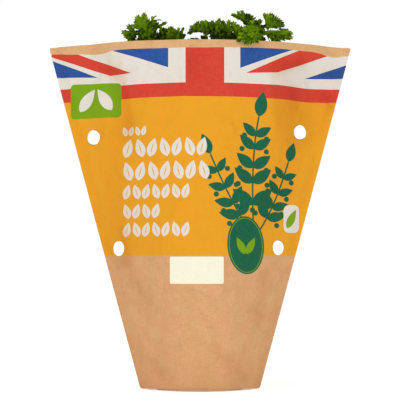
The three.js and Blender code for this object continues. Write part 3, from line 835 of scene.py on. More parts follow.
def potMaterial():
    material, tree, place = startMaterial("mouldedTanPolypropylene")
    grain = addNode(tree, "TexNoise", {"Scale": perMetre(pot["grain"]), "Detail": 2}, {"Vector": place})
    dust = addNode(tree, "TexNoise", {
        "Scale": perMetre(pot["dustSize"]), "Detail": 5, "Roughness": 0.65}, {"Vector": place})
    dustShare = addNode(tree, "MapRange", {"From Min": 0.5, "From Max": 0.8, "To Max": 0.5}, {"Value": dust})
    clean, dusty = toLinear(pot["colour"]), toLinear(pot["dustColour"])
    tone = addNode(tree, "Mix", {"data_type": "RGBA", colourA: clean, colourB: dusty}, {0: dustShare})
    shine = addNode(tree, "MapRange", {
        "From Min": 0.3, "From Max": 0.8, "To Min": pot["roughness"], "To Max": pot["dustRoughness"]}, {
        "Value": dust})
    bump = addNode(tree, "Bump", {"Strength": 0.3, "Distance": pot["grainHeight"] * 0.001}, {"Height": grain})
    skin = addNode(tree, "BsdfPrincipled", {"IOR": 1.49}, {
        "Base Color": tone, "Roughness": shine, "Normal": bump})
    addNode(tree, "OutputMaterial", {}, {"Surface": skin})
    return material


def ringWall(low, high, count):  # faces between two rings of points, which begin at low and high
    return [[low + i, low + (i + 1) % count, high + (i + 1) % count, high + i] for i in range(count)]


def lathed(profile, segments):  # turns a closed profile of (radius, z) points round Z
    points = [(x, y, z) for r, z in profile for x, y in around(r, segments)]
    rows = len(profile)
    return points, [face for row in range(rows)
                    for face in ringWall(row * segments, (row + 1) % rows * segments, segments)]


def makePot():
    height, shoulder, wall = pot["height"], pot["height"] - pot["bandHeight"], pot["wall"]
    foot, low, collar, rim = (pot[k] for k in ("footRadius", "shoulderRadius", "bandLowRadius", "rimRadius"))
    floorEdge, floorHigh = foot - pot["footRing"], pot["floorHigh"]
    profile = [  # up the outside and down the inside, with short steps that round the edges
        (floorEdge, pot["floorLow"]), (floorEdge + 0.3, 0.3), (floorEdge + 0.6, 0), (foot - 0.4, 0),
        (foot, 0.5), (low - 0.1, shoulder - 0.6), (low, shoulder), (collar - 0.2, shoulder),
        (collar, shoulder + 0.3), (rim, height - 0.6), (rim - 0.3, height), (rim - wall + 0.2, height),
        (rim - wall, height - 0.4), (collar - wall, shoulder + 2), (low - wall, shoulder),
        (foot - wall, floorHigh + 1), (foot - wall - 0.6, floorHigh + 0.2), (floorEdge, floorHigh),
    ]
    shell = Shell()
    shell.add(*lathed(profile, pot["segments"]))
    drain = pot["drainDiameter"] / 2
    holes = [ovalOutline(at, drain, drain, 0, 28) for at in around(pot["drainCircle"], pot["drainHoles"])]
    floorOutline = around(floorEdge, pot["segments"])
    flat, faces, _ = cutSheet(floorOutline, holes, [], pot["floorStep"], 1.2)
    shell.addSheet([(x, y, floorHigh) for x, y in flat], [(x, y, pot["floorLow"]) for x, y in flat], faces)
    piece = shell.toPiece("tanPlasticPot", [potMaterial()], pot["sharpFrom"])
    settle(piece, "plastic_pot")


makePot()


# Compost: dark, damp and crumbly, with paler wood fibres
soil = {
    "top": 74,
    "bump": 1.6,
    "fineBump": 0.9,
    "fineSize": 5,
    "radius": 43.6,
    "edgeFrom": 34,  # from here outwards the surface sinks towards the pot
    "edgeWidth": 10,
    "edgeSink": 2.2,
    "bottom": 3.5,
    "bottomGap": 0.4,
    "rings": 22,
    "segments": 72,
    "crumbs": 460,
    "crumbRadius": 41,
    "crumbSize": (0.6, 2.1),
    "crumbSeed": 20261,
    "tones": ((0.3, "#1B120C"), (0.75, "#5A4130")),  # damp hollows and drier crests
    "fibre": "#8A6A48",
    "clodSize": 2.5,
    "clodHeight": 0.6,
    "fibreGap": 3.2,
    "roughness": 0.93,
    "sharpFrom": 35,
}


def soilSurface(x, y):  # two crossing waves, as on the solid, and finer clods
    lift = math.sin(x * 0.31 + 1.3) * math.cos(y * 0.27) + 0.6 * math.sin((x - y) * 0.53)
    fine = noise.fractal(Vector((x, y, 7)) / soil["fineSize"], 0.7, 2.1, 4)
    return soil["top"] + soil["bump"] * lift + soil["fineBump"] * fine


def soilMaterial():
    material, tree, place = startMaterial("moistPeatFreeCompost")
    clods = addNode(tree, "TexNoise", {
        "Scale": perMetre(soil["clodSize"]), "Detail": 6, "Roughness": 0.7}, {"Vector": place})
    fibres = addNode(tree, "TexVoronoi", {"Scale": perMetre(soil["fibreGap"])}, {"Vector": place})
    tone = addNode(tree, "ValToRGB", {}, {"Fac": clods})
    for element, (position, colour) in zip(tone.color_ramp.elements, soil["tones"]):
        element.position, element.color = position, toLinear(colour)
    paler = addNode(tree, "MapRange", {
        "From Min": 0, "From Max": 0.16, "To Min": 0.55, "To Max": 0}, {"Value": fibres})
    colour = addNode(tree, "Mix", {"data_type": "RGBA", colourB: toLinear(soil["fibre"])}, {
        0: paler, colourA: tone})
    bump = addNode(tree, "Bump", {"Strength": 0.9, "Distance": soil["clodHeight"] * 0.001}, {"Height": clods})
    skin = addNode(tree, "BsdfPrincipled", {"Roughness": soil["roughness"], "IOR": 1.4}, {
        "Base Color": colour, "Normal": bump})
    addNode(tree, "OutputMaterial", {}, {"Surface": skin})
    return material


def lump(centre, size, draw):
    # One crumb: a rough stone of compost, two rings of six points between its top and its bottom
    x, y, z = centre
    stretch = (0.7 + 0.6 * draw(), 0.7 + 0.6 * draw(), 0.5 + 0.4 * draw())
    points = [(x, y, z + size * stretch[2])]
    for ring, (up, reach) in enumerate([(0.5, 0.85), (-0.3, 1.0)]):
        for i in range(6):
            angle = (i + 0.5 * ring) * math.pi / 3
            wide = size * reach * (0.75 + 0.4 * draw())
            points.append((x + wide * stretch[0] * math.cos(angle), y + wide * stretch[1] * math.sin(angle),
                           z + size * up * stretch[2]))
    points.append((x, y, z - size * stretch[2]))
    faces = []
    for i in range(6):
        j = (i + 1) % 6
        faces += [[0, 1 + i, 1 + j], [1 + i, 7 + i, 1 + j], [1 + j, 7 + i, 7 + j], [7 + i, 13, 7 + j]]
    return points, faces


def makeSoil():
    shell = Shell()
    segments, rings = soil["segments"], soil["rings"]
    points = [(0, 0, soilSurface(0, 0))]
    for ring in range(1, rings + 1):
        radius = soil["radius"] * ring / rings
        sink = soil["edgeSink"] * smooth(clamp01((radius - soil["edgeFrom"]) / soil["edgeWidth"]))
        points += [(x, y, soilSurface(x, y) - sink) for x, y in around(radius, segments)]
    bottomRadius = pot["footRadius"] - pot["wall"] - soil["bottomGap"]
    points += [(x, y, soil["bottom"]) for x, y in around(bottomRadius, segments)]
    points.append((0, 0, soil["bottom"]))
    last = 1 + rings * segments
    faces = []
    for i in range(segments):
        j = (i + 1) % segments
        faces += [[0, 1 + i, 1 + j], [last + segments, last + j, last + i]]
        for low in range(1, last, segments):
            faces.append([low + i, low + segments + i, low + segments + j, low + j])
    shell.add(points, faces)
    draw = drawsFrom(soil["crumbSeed"])
    for _ in range(soil["crumbs"]):
        radius, angle = soil["crumbRadius"] * math.sqrt(draw()), 2 * math.pi * draw()
        size = mix(*soil["crumbSize"], draw() ** 2)
        x, y = radius * math.cos(angle), radius * math.sin(angle)
        shell.add(*lump((x, y, soilSurface(x, y) + 0.1 * size), size, draw))
    piece = shell.toPiece("crumblyCompost", [soilMaterial()], soil["sharpFrom"])
    settle(piece, "potting_soil")


makeSoil()


# Plan of the plant, the same one that the solids follow
plant = {
    "soilTop": 74,
    "stemStraight": 5,
    "stemSunk": 12,
    "stemStep": 5,
    "rootReachX": 37,
    "rootReachY": 31,
    "spreadX": 2.15,
    "spreadY": 1.0,
    "bendLength": 90,
    "leanShare": (0.06, 0.05),  # of a stem's way out from the middle: the least, and the draw's part
    "firstTurn": 20,
    "goldenAngle": 137.508,
    "hiddenFronds": 20,
    "tiers": [238, 196, 260, 218, 248, 180],
    "tierJitter": 9,
    "tierSeed": 7919,
    "fansPerFrond": 6,
    "fanSpacing": 8,
    "fanSeed": (104729, 613),
    "tries": 8,
    "topRise": 58,
    "rise": (12, 26),
    "roll": 60,
    "fanRadius": (10, 3),
    "fanFoot": 0.42,
    "stalk": (3, 1.2),
    "highestHub": 268,
    "leafClearance": 3.4,
    "stemClearance": 4.2,
    "wallClearance": 2.6,
    "cadPaper": 0.8,
    "ventRoom": 10,
    "rimRoom": 8,
}

# Fronds that show above the rim: the stem's tip, then for each leaflet the x, y and z of its middle,
# its radius, its heading from straight up and its turn about that heading.
shownFronds = [
    ((-45, -10, 270), [
        (-56, -16, 281.5, 10, -82, 20), (-44.5, -20, 286.5, 11.5, -14, 12), (-34.5, -6, 290, 8, 48, -30),
        (-50, 6, 278, 10.5, -50, 60), (-38, -22, 277, 10, 30, 40)]),
    ((-24, -2, 268), [
        (-28, -14, 279.5, 9.5, -25, 15), (-19.5, -6, 280, 9.5, 30, -10), (-25, 9, 281.5, 9.5, -10, 30),
        (-14, -20, 274, 9, 10, 30)]),
    ((3, -4, 270), [
        (-2, -14, 288, 8.5, -12, -20), (6, -12, 274, 8.5, 20, 15), (1, 11, 273.5, 9.5, -20, 50)]),
    ((20, -8, 268), [
        (17, -1, 287, 10.5, -8, -10), (26, -18, 280, 11, 32, 20), (11.5, -9, 284, 9.5, -20, 12),
        (12, -22, 276, 10, -30, 35), (24, 12, 279, 10, 30, 60)]),
    ((36, 10, 276), [
        (38, 9, 294.8, 9, -62, 20), (47, 6, 288.5, 9, 38, -20), (38, 22, 284, 10.5, 5, 55)]),
    ((44, -26, 281), [
        (38, -47.6, 279, 11.5, -168, 8), (49, -36, 279, 10.5, 100, 70)]),
    ((60, -6, 274), [
        (59.5, -10, 291, 10, -6, 5), (66, -10, 281, 10.5, 78, -40), (54, 10, 277, 9.5, -40, 40),
        (60, -22, 273.5, 9, 26, 45)]),
]


# Vectors as plain tuples, in full precision, so that this plan comes out as the solids' does
def plus(a, b, share=1.0):
    return (a[0] + b[0] * share, a[1] + b[1] * share, a[2] + b[2] * share)


def minus(a, b):
    return (a[0] - b[0], a[1] - b[1], a[2] - b[2])


def times(a, share):
    return (a[0] * share, a[1] * share, a[2] * share)


def dot(a, b):
    return a[0] * b[0] + a[1] * b[1] + a[2] * b[2]


def cross(a, b):
    return (a[1] * b[2] - a[2] * b[1], a[2] * b[0] - a[0] * b[2], a[0] * b[1] - a[1] * b[0])


def length(a):
    return math.sqrt(dot(a, a))


def unit(a):
    return times(a, 1 / length(a))


def squareTo(a, b):  # the direction nearest to a that stands square to the direction b
    return unit(plus(a, b, -dot(a, b)))


def turned(a, b, angle):  # the direction a, turned towards the direction b
    return plus(times(a, math.cos(angle)), b, math.sin(angle))


def flow(rootX, rootY, z):
    start = plant["soilTop"] + plant["stemStraight"]
    t = clamp01((z - start) / (sleeve["height"] - start))
    opened = t * t * (1.5 - 0.5 * t)
    return rootX * (1 + (plant["spreadX"] - 1) * opened), rootY * (1 + (plant["spreadY"] - 1) * opened)


def stemPoint(frond, z):
    x, y = flow(*frond["root"], z)
    t = clamp01((z - frond["top"] + plant["bendLength"]) / plant["bendLength"])
    return (x + frond["lean"][0] * t * t, y + frond["lean"][1] * t * t, z)


def makeFrond(root, top, lean, seed):
    frond = {"root": root, "top": top, "lean": lean, "seed": seed, "fans": []}
    heights = []
    z = plant["soilTop"]
    while z < top:
        heights.append(z)
        z += plant["stemStep"]
    frond["stem"] = [stemPoint(frond, z) for z in [*heights, top]]
    return frond


def fanSamples(fan):  # its hub, the middle of its stalk, and two rings of points
    side = cross(fan["normal"], fan["direction"])
    samples = [fan["hub"], plus(fan["base"], minus(fan["hub"], fan["base"]), 0.5)]
    for share, count in ((0.5, 6), (1.0, 12)):
        for i in range(count):
            angle = 2 * math.pi * i / count
            point = plus(fan["hub"], fan["direction"], share * fan["radius"] * math.cos(angle))
            samples.append(plus(point, side, share * fan["radius"] * math.sin(angle)))
    return samples


def distanceToFan(point, fan):  # 1.07 takes in the teeth round its edge
    offset = minus(point, fan["hub"])
    height = dot(offset, fan["normal"])
    across = math.sqrt(max(0, dot(offset, offset) - height * height))
    beyond = max(0, across - 1.07 * fan["radius"])
    return math.sqrt(height * height + beyond * beyond)


def insideSleeve(point):
    if point[2] > sleeve["height"] + plant["wallClearance"]:
        return abs(point[0]) < sleeve["rimHalfWidth"] - plant["rimRoom"]
    z = min(point[2], sleeve["height"])
    return abs(point[1]) < panelDepth(point[0], z, plant["cadPaper"]) - plant["wallClearance"]


def behindVent(point):
    room = plant["ventRoom"]
    return any(abs(point[0] - x) < room and abs(point[2] - z) < room for x, z in vents["places"])


def fansClash(samples, fan, other):
    gap = plant["leafClearance"]
    if length(minus(fan["hub"], other["hub"])) > fan["radius"] + other["radius"] + gap:
        return False
    return (any(distanceToFan(p, other) < gap for p in samples)
            or any(distanceToFan(p, fan) < gap for p in other["samples"]))


def fanIsClear(fan, frond, fronds):
    samples = fanSamples(fan)
    if any(not insideSleeve(p) or behindVent(p) for p in samples):
        return False
    for other in fronds:
        if other is frond:
            continue
        if any(distanceToFan(p, fan) < plant["stemClearance"] for p in other["stem"]):
            return False
        if any(length(minus(p, samples[1])) < plant["stemClearance"] for p in other["stem"]):
            return False
        if any(fansClash(samples, fan, otherFan) for otherFan in other["fans"]):
            return False
    return True


def shownFan(frond, row, seed):  # lies partly in the picture's plane and partly along its stalk
    x, y, z, radius, heading, turn = row
    up, turnedBy = math.radians(heading), math.radians(turn)
    base = stemPoint(frond, frond["top"] - 3)
    reach = minus((x, y, z), base)
    lie = unit(plus((math.sin(up) * 0.8, 0, math.cos(up) * 0.8), reach, 0.6 / length(reach)))
    normal = squareTo((0, -math.cos(turnedBy), math.sin(turnedBy)), lie)
    fan = {"base": base, "direction": lie, "normal": normal, "radius": radius, "hub": (x, y, z), "seed": seed,
           "isShown": True}
    fan["samples"] = fanSamples(fan)
    return fan


def hiddenFan(frond, index, draws, turn):
    # Each new try turns the leaflet on round its stem, raises it and makes it smaller.
    base = stemPoint(frond, frond["top"] - index * plant["fanSpacing"])
    degrees = index * plant["goldenAngle"] + frond["seed"] * 47 + 50 * draws[0] + 43 * turn
    azimuth = math.radians(degrees % 360)
    low, more = plant["rise"]
    rise = math.radians(plant["topRise"] if index == 0 else low + more * draws[1] + (turn % 3) * 14)
    direction = (math.cos(rise) * math.cos(azimuth), math.cos(rise) * math.sin(azimuth), math.sin(rise))
    flat = squareTo((0, 0, 1), direction)
    normal = turned(flat, cross(direction, flat), math.radians((draws[2] - 0.5) * plant["roll"]))
    radius = (plant["fanRadius"][0] + plant["fanRadius"][1] * draws[3]) * (1 - 0.035 * turn)
    stalk = plant["stalk"][0] + plant["stalk"][1] * index
    hub = plus(base, direction, stalk + plant["fanFoot"] * radius)
    return {"base": base, "direction": direction, "normal": normal, "radius": radius, "hub": hub,
            "seed": frond["seed"] * 31 + index, "isShown": False}


def growFans(frond, fronds):
    draw = drawsFrom(plant["fanSeed"][0] + plant["fanSeed"][1] * frond["seed"])
    for index in range(2 if frond["fans"] else 0, plant["fansPerFrond"]):
        draws = [draw(), draw(), draw(), draw()]
        for turn in range(plant["tries"]):
            fan = hiddenFan(frond, index, draws, turn)
            if fan["hub"][2] > plant["highestHub"] or not fanIsClear(fan, frond, fronds):
                continue
            fan["samples"] = fanSamples(fan)
            frond["fans"].append(fan)
            break


def planFronds():
    total = len(shownFronds) + plant["hiddenFronds"]
    roots = []
    for index in range(total):
        share = math.sqrt((index + 0.5) / total)
        angle = math.radians(index * plant["goldenAngle"] + plant["firstTurn"])
        x, y = plant["rootReachX"] * share * math.cos(angle), plant["rootReachY"] * share * math.sin(angle)
        roots.append((x, y))
    fronds = []
    for tip, _ in shownFronds:  # each shown stem takes the root that leads nearest to its tip
        flows = [flow(x, y, tip[2]) for x, y in roots]
        gaps = [(x - tip[0]) * (x - tip[0]) + (y - tip[1]) * (y - tip[1]) for x, y in flows]
        nearest = gaps.index(min(gaps))
        lean = (tip[0] - flows[nearest][0], tip[1] - flows[nearest][1])
        fronds.append(makeFrond(roots.pop(nearest), tip[2], lean, len(fronds) + 1))
    for index, root in enumerate(roots):
        draw = drawsFrom(plant["tierSeed"] * (index + 3))
        top = plant["tiers"][index % len(plant["tiers"])] + plant["tierJitter"] * (draw() - 0.5)
        x, y = flow(*root, top)
        lean = plant["leanShare"][0] + plant["leanShare"][1] * draw()
        fronds.append(makeFrond(root, top, (x * lean, y * lean), len(fronds) + 1))
    for frond, (_, rows) in zip(fronds, shownFronds):
        frond["fans"] = [shownFan(frond, row, frond["seed"] * 31 + k) for k, row in enumerate(rows)]
    for frond in fronds:
        growFans(frond, fronds)
    return fronds


fronds = planFronds()
print("plan has", len(fronds), "fronds and", sum(len(f["fans"]) for f in fronds), "leaflets")


# Leaf: thin, waxy and folded into frills, so light comes through its edges and its ribs are paler
leaf = {
    "paintedShadeGreen": "#1B2D00",
    "green": "#5E8200",
    "highlightGreen": "#93B713",
    "rib": "#7F9E0A",
    "under": "#486B06",
    "roughness": 0.6,
    "through": 0.2,  # the share of the light that comes through
    "mottle": 2,
    "skinHeight": 0.2,
    "sharpFrom": 60,
}
stem = {
    "radius": 1.2,
    "tipShare": 0.72,
    "stalkRadius": 0.55,
    "stalkSag": 0.06,
    "colours": ("#7A9638", "#90A852"),
    "stalkColours": ("#46690E", "#5F8420"),
    "ribs": (0.7, 14),  # across and along
    "ribHeight": 0.2,
    "roughness": 0.42,
    "sides": 9,
    "rings": 26,
}

# A lobe's blade, before its own draws. What is called a share is one of half its width.
blade = {
    "toothWidth": 2.6,
    "edgeLength": 1.7,  # the toothed edge, over the length and half the width together
    "toothDepth": 1.5,
    "deepestShare": 0.5,
    "stepsPerTooth": 4,
    "toothPeak": 0.75,  # a tooth's point stands this far along it, so it leans forward
    "rings": [0.25, 0.5, 0.7, 0.86, 1.0],
    "bluntness": 0.85,
    "footShare": 0.72,
    "tipShare": 0.34,
    "frill": 0.85,
    "insideFrill": 1.5,
    "frillShare": 0.3,
    "arch": 0.12,
    "lean": 0.16,
    "fold": 0.34,
    "ribWidth": 0.5,
    "paintedCrestLight": 0.24,  # painted light and shade: the crests of the frills are painted this much lighter than their folds
    "thickness": 0.28,
    "wallGap": 0.6,
}

# Leaflets in plain sight, which are drawn from the traced lobes
drawn = {
    "seed": (32452843, 977),
    "narrower": 0.83,  # the traced widths take in the frills
    "softEdge": 0.5,  # what the photo's soft edge hides of a lobe on each side
    "softFrom": 2.2,
    "shownWidth": 1.16,
    "longer": 1,
    "turn": 40,
    "facingUp": 0.25,
    "curlSeed": (15485863, 389),
    "curlFrom": -40,  # leaves further forward lie flat on the sleeve
    "curlTurn": (55, 80),  # degrees from a lobe's face to its second fold
    "curlTilt": (-0.3, 0.6),
    "curlBehind": 0.8,
    "curlLength": 0.86,
    "curlWidth": 0.95,
}

# Leaflets inside the bunch. Pairs are the least value and what a draw adds to it.
grown = {
    "lobeAngles": [(0, 1.0), (-40, 0.95), (40, 0.98), (-82, 0.9), (82, 0.88)],  # degrees and length
    "angleSpread": 8,
    "footBack": 0.45,  # the lobes start this share of the radius behind the middle
    "stalkInto": 0.12,
    "reach": (0.94, 0.1),
    "lobeWidth": 0.3,  # half-width over length
    "width": (0.9, 0.2),
    # painted light of a leaflet, and below how much it varies from lobe to lobe
    "paintedLight": (0.15, 0.5),
    "lobePaintedLight": 0.2,
    "tipSeed": (9001, 31),
    "tipLobes": 4,
    "tipLength": (5, 1.5),
    "tipHalfWidth": 1.7,
    "tipOutward": 0.75,
    "tipPaintedLight": (0.35, 0.3),
}

# The lobes of the leaves that show above the rim, traced on the photo, for each frond and each
# of its leaflets that is seen plainly. In pixels: the foot across and down, the tip across and down, and
# half the width. Then how many mm the tip stands forward, and how much painted light the lobe has.
tracedLobes = {
    (0, 0): [
        (134, 32, 127.4, 24, 3, 1, 0.5), (133, 32.5, 121.3, 30.8, 2.3, 2, 0.45),
        (133.5, 33, 123.6, 35.3, 2.5, 0, 0.35), (134, 33.5, 127.4, 38.4, 2.4, 1, 0.3),
        (135, 34.5, 131.6, 40.3, 2, -1, 0.1), (137, 33.2, 129, 30.6, 2.6, 3, 0.32),
        (139, 34.5, 137.8, 39.2, 1.6, -2, 0.08)],
    (0, 1): [
        (144.5, 29, 143.7, 12.3, 2.9, 2, 0.5), (143, 28, 137.2, 14.8, 3.4, 3, 0.6),
        (142.5, 28, 135, 19.6, 3.2, 1, 0.5), (143, 27.6, 132.2, 24.3, 2, 2, 0.3),
        (146, 30, 148.3, 17.6, 3.1, 1, 0.3), (149, 33, 153.8, 27.6, 2.3, 0, 0.2),
        (147, 40.5, 147, 26, 4.8, 5, 0.32), (143.5, 40, 140.4, 32.6, 3.4, 4, 0.15),
        (153, 41, 152, 30.5, 3.6, 4, 0.08), (147, 31.2, 133.2, 30.4, 2.6, -2, 0.12),
        (147, 29, 150.5, 21, 2.6, 3, 0.25)],
    (0, 2): [
        (152.8, 26, 151.7, 16.2, 1.3, 3, 0.95), (151.7, 18, 155, 14.9, 0.8, 1, 0.8),
        (152, 19, 160.3, 18.2, 0.5, 0, 0.6), (154.3, 31, 154.6, 18.6, 2.1, 2, 0.4),
        (155, 28, 157.3, 21.6, 1.5, 1, 0.3), (156.5, 27, 165.8, 20.6, 1.6, 0, 0.3),
        (154, 33, 154.5, 24, 2.4, 2, 0.25)],
    (0, 4): [
        (150, 43, 149, 27.8, 3.6, 3, 0.3), (153, 43, 153, 33, 2.9, 4, 0.08),
        (146, 43, 143.6, 33.8, 2.9, 2, 0.15)],
    (1, 0): [
        (158.3, 41, 158, 31.2, 2.8, 1, 0.2), (161.6, 39, 160.4, 25.6, 1.5, 3, 0.35),
        (163.6, 39, 163.7, 26.4, 2.4, 1, 0.1), (166.2, 39, 166.3, 27.4, 1.9, 0, 0.1),
        (169.6, 38, 170, 26, 2.9, 2, 0.45), (173.4, 39, 174, 27.8, 2.2, 1, 0.35),
        (163.5, 42, 163, 32, 3.6, 5, 0.15), (169, 42, 168.6, 32.5, 3.2, 6, 0.4),
        (174, 42, 173.5, 32.5, 3.2, 4, 0.35)],
    (1, 1): [
        (176.6, 38.6, 176, 29.2, 1.8, 2, 0.2), (177.3, 36, 178.8, 26.8, 1.4, 1, 0.75),
        (179.3, 36, 183.2, 26.6, 1.3, 0, 0.35), (177.5, 36.3, 185, 33.6, 2, 1, 0.15),
        (178, 36.5, 180.3, 30.4, 2.2, 0, 0.15)],
    (1, 3): [
        (180, 44, 180.6, 33.3, 1.5, 1, 0.1), (180, 44, 183.8, 34.8, 1.3, 0, 0.08),
        (178, 44, 177, 34, 1.5, 2, 0.3)],
    (2, 0): [
        (199, 28.5, 188, 31.7, 1.5, 1, 0.15), (198, 27.5, 189.4, 28.4, 1.4, 0, 0.3),
        (198.5, 27.5, 190.8, 24.9, 1.7, 2, 0.35), (199.5, 28, 194.9, 22.4, 1.8, 0, 0.4),
        (200, 28.5, 197.6, 21.1, 2, 2, 0.4), (202, 28, 202, 19.9, 2, 1, 0.5),
        (206, 29.6, 195, 29, 1.8, 1, 0.2), (204, 28, 206, 19.6, 2.2, 2, 0.65),
        (206, 28.5, 209.5, 20.6, 2.1, 0, 0.3), (207.5, 30, 212, 20.3, 2.2, 1, 0.3),
        (207.3, 41, 204.6, 28.5, 1.5, 2, 0.15), (208.3, 34, 205.5, 25, 2.2, 3, 0.25)],
    (2, 1): [
        (203, 41, 188.3, 37.7, 1.1, 1, 0.05), (203, 41, 192, 36.8, 1, 2, 0.05),
        (203, 41, 196, 37, 1, 0, 0.05), (204, 41.5, 201.6, 34.8, 1.1, 1, 0.1),
        (204, 41.5, 204.6, 35.2, 1.1, 2, 0.02)],
    (3, 0): [
        (218.5, 28, 219.6, 17.5, 1.7, 1, 0.5), (217, 28, 217, 20, 1.8, 0, 0.42),
        (221.5, 28, 223.3, 19.1, 2.3, 0, 0.22), (220, 34, 219.6, 23, 3.3, 3, 0.52),
        (224, 33, 225.6, 22, 2.6, 1, 0.25), (219, 41, 219.5, 30, 4, 4, 0.15)],
    (3, 1): [
        (227.5, 29, 229.8, 19.3, 2.2, 1, 0.5), (231, 30, 234.5, 21.2, 2.9, 2, 0.55),
        (234, 31, 239.5, 23.5, 2.4, 1, 0.55), (237, 31, 243, 25.1, 2, 0, 0.4),
        (231, 37, 230.5, 26, 3.2, 3, 0.32), (236, 37, 237, 27, 3.2, 4, 0.5),
        (228, 41, 227, 29.5, 3.6, 2, 0), (233, 41, 233, 32, 3.8, 3, 0),
        (238, 39, 239.3, 31, 2.8, 5, 0.35)],
    (3, 2): [
        (212, 31, 212.8, 20.4, 2.4, 2, 0.45), (210.6, 33, 209.3, 24, 2.2, 3, 0.35),
        (214, 32, 215.6, 22.2, 2.4, 1, 0.42), (212.8, 38.5, 212.4, 27, 2.6, 4, 0.22),
        (216, 39, 216, 26, 3.3, 3, 0.42)],
    (3, 3): [
        (215, 43, 212.7, 31.5, 2.6, 2, 0.05), (216, 43, 217.6, 31, 3.2, 1, 0.12),
        (215, 43, 215, 34, 3.2, 3, 0.03), (221, 43, 221.5, 32, 3, 0, 0.05)],
    (4, 0): [
        (243.5, 16.6, 232.6, 13.3, 1.9, 2, 0.3), (247, 19, 237, 13.6, 2.7, 0, 0.2),
        (248.3, 24.5, 240.5, 14.6, 2.2, 1, 0.12), (240.4, 15.5, 238.2, 10.4, 1.6, 1, 0.6),
        (243.6, 17, 242.2, 10.2, 2.1, 2, 0.5), (247.2, 19.5, 246.3, 12.2, 2.1, 0, 0.2),
        (249.8, 22, 249.5, 13, 2.1, 2, 0.15), (250.2, 21, 252.8, 14.7, 1.5, 1, 0.3),
        (251.2, 20.5, 255.5, 16.1, 0.9, 0, 0.5), (249, 28, 249, 18.5, 3.1, 3, 0.15)],
    (4, 1): [
        (257, 26, 260.6, 18.4, 2, 2, 0.4), (256, 27, 256.3, 18.7, 2.3, 1, 0.15),
        (258.5, 27, 266, 24.3, 2.1, 0, 0.1), (257, 30, 264, 28, 2.3, 2, 0.15)],
    (5, 0): [
        (258, 31, 249.8, 20.9, 3.9, 1, 0.32), (257.5, 31.5, 243.4, 26.6, 3, 2, 0.45),
        (258, 32, 239, 31.8, 3.4, 2, 0.4), (258, 33, 238.2, 38.2, 3.4, 3, 0.35),
        (257.5, 33.5, 245.9, 43.6, 3.4, 2, 0.35), (257.5, 34, 251.2, 40.6, 2.7, 1, 0.3),
        (259, 34, 256, 41.2, 2.7, 1, 0.3), (258, 32, 257.4, 23.6, 3.3, 0, 0.25),
        (257, 33, 262.8, 36.6, 2.5, 0, 0.25), (259, 31.5, 248, 33.5, 3, 4, 0.4)],
    (5, 1): [
        (256.5, 38, 265.6, 38.2, 2, 1, 0.03), (257, 34.5, 265.2, 31.5, 2.6, 2, 0.25),
        (257, 31, 263, 27.6, 2.6, 0, 0.2)],
    (6, 0): [
        (268.3, 25.7, 264.9, 12.1, 1.5, 1, 0.35), (268.8, 26.2, 268, 12.9, 1.6, 2, 0.65),
        (269, 25.8, 271.5, 11.4, 2.5, 0, 0.45), (269.5, 26.6, 274, 13.9, 2.2, 2, 0.4),
        (269.8, 25.6, 276.8, 15, 3.2, 1, 0.38), (270, 25.8, 280.8, 18, 3.2, 0, 0.35),
        (272, 25.4, 283.5, 20.8, 2.4, 2, 0.3), (272, 25.8, 284.8, 23.6, 2.3, 1, 0.32),
        (279, 27.6, 286.2, 28.3, 1.2, 0, 0.2), (268.4, 28.4, 266.6, 22.6, 1.6, -1, 0.12)],
    (6, 1): [
        (266, 31, 292.8, 31.6, 2.3, 2, 0.5), (266.5, 31.7, 293.4, 36.4, 2.7, 1, 0.35),
        (267, 32, 283, 38.2, 2.5, 1, 0.35), (267.5, 32.2, 276.3, 39.8, 2.7, 2, 0.3),
        (268, 31.6, 280.5, 30.6, 1.3, 1, 0.35), (260.5, 30.8, 270, 31.4, 2.1, 3, 0.35)],
    (6, 2): [
        (262, 43, 258.5, 35, 1.9, 1, 0.05), (273, 47, 276.5, 38.5, 2, 0, 0.1)],
    (6, 3): [
        (276.5, 45, 275, 35.3, 2.5, 1, 0.32), (277, 45, 279.4, 37.4, 1.9, 0, 0.3)],
}


